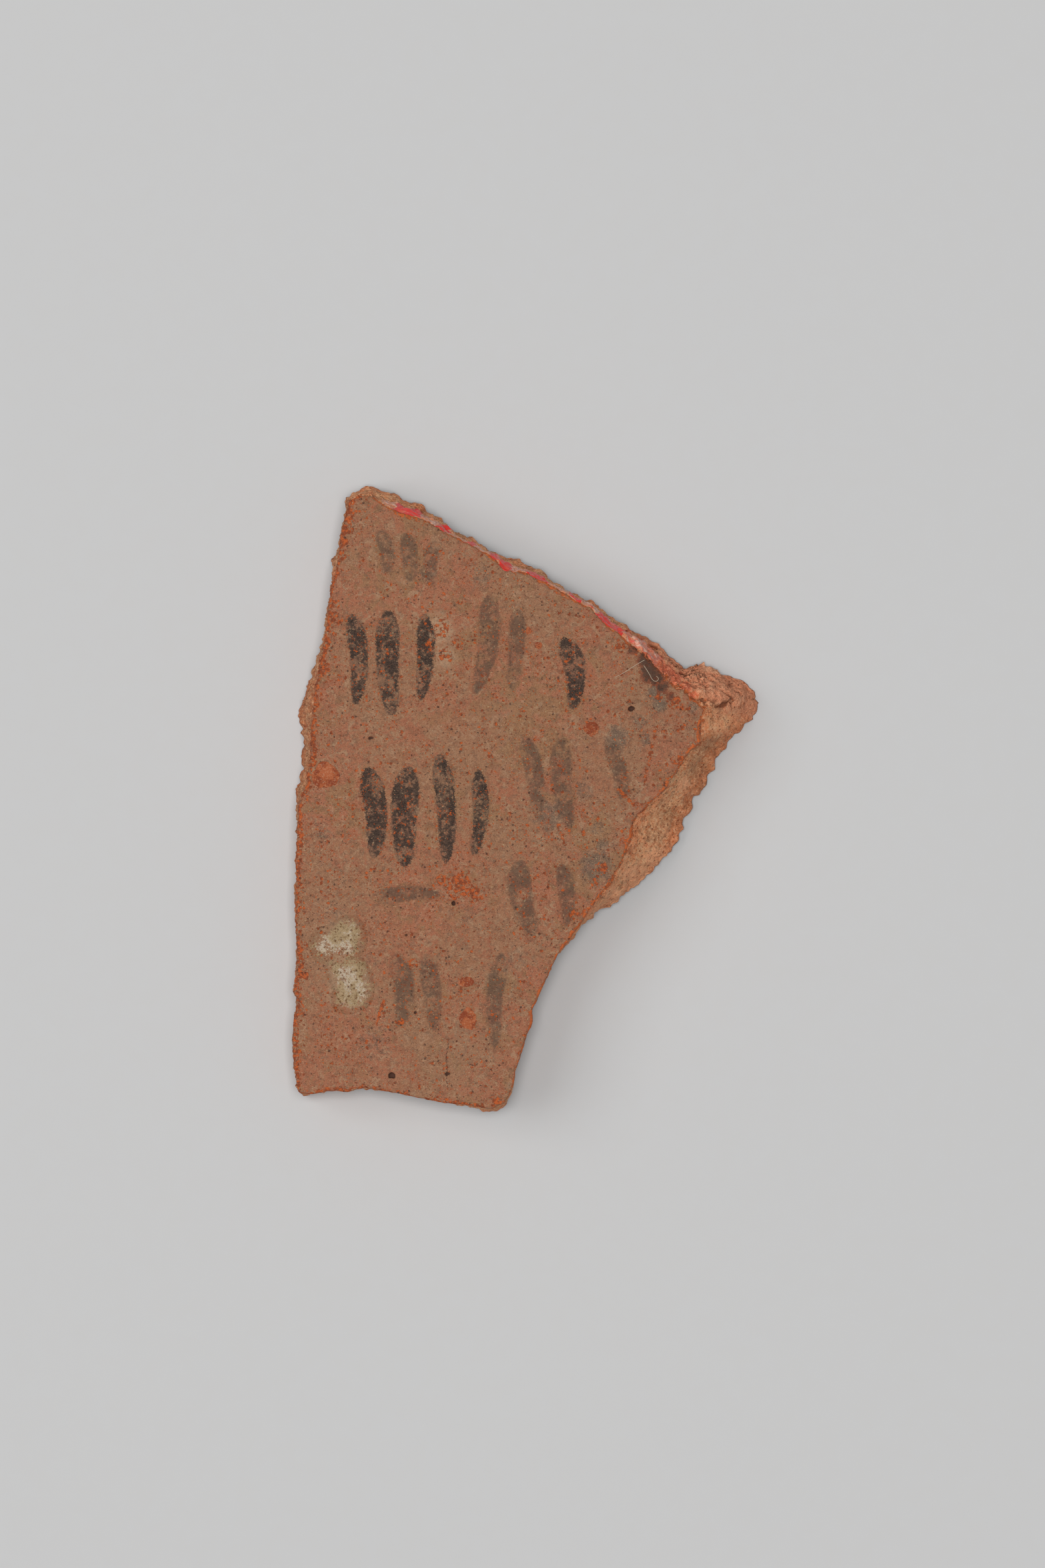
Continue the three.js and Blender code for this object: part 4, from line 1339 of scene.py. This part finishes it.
def lime_finish(colours):
    finish = Finish("lime crust")
    base, relief = skin_specks(finish, colours, *skin_ground(finish, colours))[:2]
    fine = finish.noise(0.17, 3, 0.85, shift=89)
    medium = finish.noise(0.5, 4, 0.75, shift=97)
    patches = finish.noise(2.0, 3, 0.65, shift=83, twist=0.6)
    cover = finish.mark("cover")
    grains = fine * 1.6 + medium * 1.5
    film = (cover * 0.8 + grains * 1.1 + patches * 2.4).step(0.32, 0.54) * cover.step(0, 0.2)
    chalky = (cover * 0.5 + grains - patches * 1.7).step(0.42, 0.7)
    dots = finish.flakes(0.32, patches * 1.2 + 0.24, 91)
    dirty = (dots * 0.9).either((fine + patches * 0.6).step(0.04, 0.14) * 0.6)
    lime = finish.coated(colours.lime, (chalky * 0.9, colours.chalk), (dirty, colours.lime_dirt))
    base = finish.mix(film * 0.85, base, lime)
    relief = relief + fine * 2 + medium
    return finish.finished(base, roughness=0.95, bump=relief, height=0.00006, shine=0.2)


def streaks(finish, size, shift):
    """Noise drawn out along the edge of the sherd."""
    axes = {0: finish.mark("along") * STREAK_STRETCH, 1: finish.mark("down"), 2: shift}
    return finish.noise(size, 3, 0.65, place=finish.node("ShaderNodeCombineXYZ", {}, axes))


def varnish_finish(colours):
    finish = Finish("varnish")
    base, relief = break_surface(finish, colours)
    cover = finish.mark("cover").step(0.2, 0.9)
    streak = streaks(finish, 0.5, 3)
    base = finish.coated(
        base,
        (cover * 0.3, colours.paint_worn),
        (cover * streak.step(0, 0.12) * 0.8, colours.varnish),
        (cover * streaks(finish, 0.6, 9).step(0.08, 0.16) * 0.7, colours.paint),
    )
    return finish.finished(base, roughness=0.45, bump=relief + streak, height=0.00004, gloss=0.3)


def paint_finish(colours):
    finish = Finish("red paint")
    streak = streaks(finish, 0.5, 5)
    base = finish.coated(
        colours.paint,
        (streak.step(0, 0.16) * 0.8, colours.paint_worn),
        (streaks(finish, 0.3, 7).step(0.08, 0.18) * 0.5, colours.varnish),
    )
    return finish.finished(base, roughness=0.45, bump=streak, height=0.00004, gloss=0.3)


def hair_finish(colours):
    finish = Finish("hair")
    base = finish.mix(finish.noise(0.4, 2).step(-0.1, 0.2) * 0.4, colours.hair, colours.skin_pale)
    return finish.finished(base, roughness=0.4)


def floor_finish(colours):
    finish = Finish("floor")
    base = finish.mix(finish.noise(2.5, 3).step(-0.2, 0.2) * 0.02, colours.floor, colours.hair)
    return finish.finished(base, roughness=0.95, shine=0.1)


# Operators


def add_lamp(name, place, size, power):
    """A square lamp that faces the sherd."""
    lamp = bpy.data.lights.new(name, "AREA")
    lamp.shape = "SQUARE"
    lamp.size = size
    lamp.energy = power
    holder = bpy.data.objects.new(name, lamp)
    holder.location = place
    holder.rotation_euler = Vector(place).to_track_quat("Z", "Y").to_euler()
    bpy.context.scene.collection.objects.link(holder)


def nodes_named(start):
    return [node for node in frame["nodes"] if node.startswith(start)]


class OSTRACON_OT_wall(bpy.types.Operator):
    """Builds the five layers of the pot's wall"""

    bl_idname = "ostracon.wall"
    bl_label = "Wall layers"

    def execute(self, context):
        shape = SherdShape(context.scene.sherd_sizes)
        colours = context.scene.sherd_colours
        layers = {
            "outer_skin": (skin_finish(colours), "skin"),
            "outer_margin": (break_finish("outer margin", colours), "margin"),
            "wall_core": (break_finish("wall core", colours), "core"),
            "inner_margin": (break_finish("inner margin", colours), "margin"),
            "inner_skin": (inner_skin_finish(colours), "skin"),
        }
        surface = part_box("outer_skin")[1].z
        tops = [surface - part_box(layer)[1].z for layer in layers]
        tops = [0, *(top - BOND_HALF for top in tops[1:]), shape.sizes.wall]
        for (layer, look), top, bottom in zip(layers.items(), tops, tops[1:]):
            layer_piece(shape, layer, top, bottom, *look)
        return {"FINISHED"}


class OSTRACON_OT_grains(bpy.types.Operator):
    """Sets the grains of crushed sherd in the writing face"""

    bl_idname = "ostracon.grains"
    bl_label = "Grog grains"

    def execute(self, context):
        shape = SherdShape(context.scene.sherd_sizes)
        material = grog_finish(context.scene.sherd_colours)
        for node in nodes_named("grog_grain"):
            grain_piece(shape, node, material)
        return {"FINISHED"}


class OSTRACON_OT_ink(bpy.types.Operator):
    """Lays the tally strokes of ink on the writing face"""

    bl_idname = "ostracon.ink"
    bl_label = "Ink strokes"

    def execute(self, context):
        sizes = context.scene.sherd_sizes
        colours = context.scene.sherd_colours
        shape = SherdShape(sizes)
        finishes = {
            "ink_dark": ink_finish("dark ink", colours, 1.0),
            "ink_faded": ink_finish("faded ink", colours, 0.25),
        }
        for part in frame["record"]["subparts"]:
            slot = part["material_slot"]
            if slot in finishes:
                film_piece(shape, part["node"], sizes.film_margin, sizes.ink_feather, finishes[slot])
        return {"FINISHED"}


class OSTRACON_OT_crust(bpy.types.Operator):
    """Lays the lime crust on the writing face"""

    bl_idname = "ostracon.crust"
    bl_label = "Lime crust"

    def execute(self, context):
        sizes = context.scene.sherd_sizes
        shape = SherdShape(sizes)
        material = lime_finish(context.scene.sherd_colours)

        def thickness(plan, away):
            bumpy = 0.55 + 0.6 * rough_noise(flat(plan), CRUST_BUMP, 101, 3)
            thick = smooth_step(-sizes.crust_feather, sizes.crust_feather, away)
            return sizes.crust_height * thick * np.clip(bumpy, 0, 2)

        for node in nodes_named("lime_crust"):
            film_piece(shape, node, sizes.crust_margin, sizes.crust_feather, material, thickness)
        return {"FINISHED"}


class OSTRACON_OT_coats(bpy.types.Operator):
    """Lays the varnish and the dashes of red paint on the top break"""

    bl_idname = "ostracon.coats"
    bl_label = "Varnish and paint"

    def execute(self, context):
        sizes = context.scene.sherd_sizes
        colours = context.scene.sherd_colours
        shape = SherdShape(sizes)
        varnish = varnish_finish(colours)
        paint = paint_finish(colours)
        break_film(shape, "varnish_film", VARNISH_DEPTHS, sizes.varnish_height, 111, varnish)
        for i, node in enumerate(sorted(nodes_named("paint_dash"))):
            break_film(shape, node, PAINT_DEPTHS, sizes.paint_height, 121 + i, paint)
        return {"FINISHED"}


class OSTRACON_OT_hairs(bpy.types.Operator):
    """Lays the loose hairs on the writing face"""

    bl_idname = "ostracon.hairs"
    bl_label = "Hairs"

    def execute(self, context):
        shape = SherdShape(context.scene.sherd_sizes)
        material = hair_finish(context.scene.sherd_colours)
        for node, path in HAIRS.items():
            hair_piece(shape, node, path, material)
        return {"FINISHED"}


class OSTRACON_OT_stage(bpy.types.Operator):
    """Sets up the floor, the lamps and the camera"""

    bl_idname = "ostracon.stage"
    bl_label = "Stage"

    def execute(self, context):
        scene = context.scene
        settings = scene.stage_settings
        half = settings.floor_size / 2
        mesh = bpy.data.meshes.new("floor")
        corners = [(-half, -half, 0), (half, -half, 0), (half, half, 0), (-half, half, 0)]
        mesh.from_pydata(corners, [], [range(len(corners))])
        mesh.materials.append(floor_finish(scene.sherd_colours))
        floor = bpy.data.objects.new("floor", mesh)
        scene.collection.objects.link(floor)

        scene.world = bpy.data.worlds.new("even light")
        scene.world.use_nodes = True
        sky = scene.world.node_tree.nodes["Background"]
        sky.inputs["Color"].default_value = (1, 1, 1, 1)
        sky.inputs["Strength"].default_value = settings.sky
        add_lamp("overhead lamp", OVERHEAD_PLACE, settings.overhead_size, settings.overhead_power)
        add_lamp("key lamp", KEY_PLACE, settings.key_size, settings.key_power)

        camera = bpy.data.cameras.new("camera")
        camera.sensor_fit = "VERTICAL"
        camera.sensor_height = settings.sensor
        sherd_top = cad_box[1][2]
        seen_height = settings.frame_height * PIXEL
        camera.lens = settings.sensor * (settings.camera_distance - sherd_top) / seen_height
        camera.clip_end = 2 * settings.camera_distance
        middle = from_photo((settings.frame_width / 2, settings.frame_height / 2))
        scene.camera = bpy.data.objects.new("camera", camera)
        scene.camera.location = (*middle, settings.camera_distance)
        scene.collection.objects.link(scene.camera)
        scene.view_settings.view_transform = "Standard"
        return {"FINISHED"}


class OSTRACON_PT_panel(bpy.types.Panel):
    """Lists the steps that build the ostracon"""

    bl_idname = "OSTRACON_PT_panel"
    bl_label = "Ostracon"
    bl_space_type = "VIEW_3D"
    bl_region_type = "UI"
    bl_category = "Ostracon"

    def draw(self, context):
        for operator in OPERATORS:
            self.layout.operator(operator.bl_idname)
        for group in (context.scene.sherd_sizes, context.scene.sherd_colours, context.scene.stage_settings):
            box = self.layout.box()
            for name in group.__annotations__:
                box.prop(group, name)


OPERATORS = (
    OSTRACON_OT_wall,
    OSTRACON_OT_grains,
    OSTRACON_OT_ink,
    OSTRACON_OT_crust,
    OSTRACON_OT_coats,
    OSTRACON_OT_hairs,
    OSTRACON_OT_stage,
)
GROUPS = {"sherd_sizes": SherdSizes, "sherd_colours": SherdColours, "stage_settings": StageSettings}


def register():
    for group in GROUPS.values():
        bpy.utils.register_class(group)
    for name, group in GROUPS.items():
        setattr(bpy.types.Scene, name, PointerProperty(type=group))
    for operator in OPERATORS:
        bpy.utils.register_class(operator)
    bpy.utils.register_class(OSTRACON_PT_panel)


def unregister():
    bpy.utils.unregister_class(OSTRACON_PT_panel)
    for operator in reversed(OPERATORS):
        bpy.utils.unregister_class(operator)
    for name, group in GROUPS.items():
        delattr(bpy.types.Scene, name)
        bpy.utils.unregister_class(group)


def main():
    register()
    bpy.ops.ostracon.wall()
    bpy.ops.ostracon.grains()
    bpy.ops.ostracon.ink()
    bpy.ops.ostracon.crust()
    bpy.ops.ostracon.coats()
    bpy.ops.ostracon.hairs()
    bpy.ops.ostracon.stage()


if __name__ == "__main__":
    main()
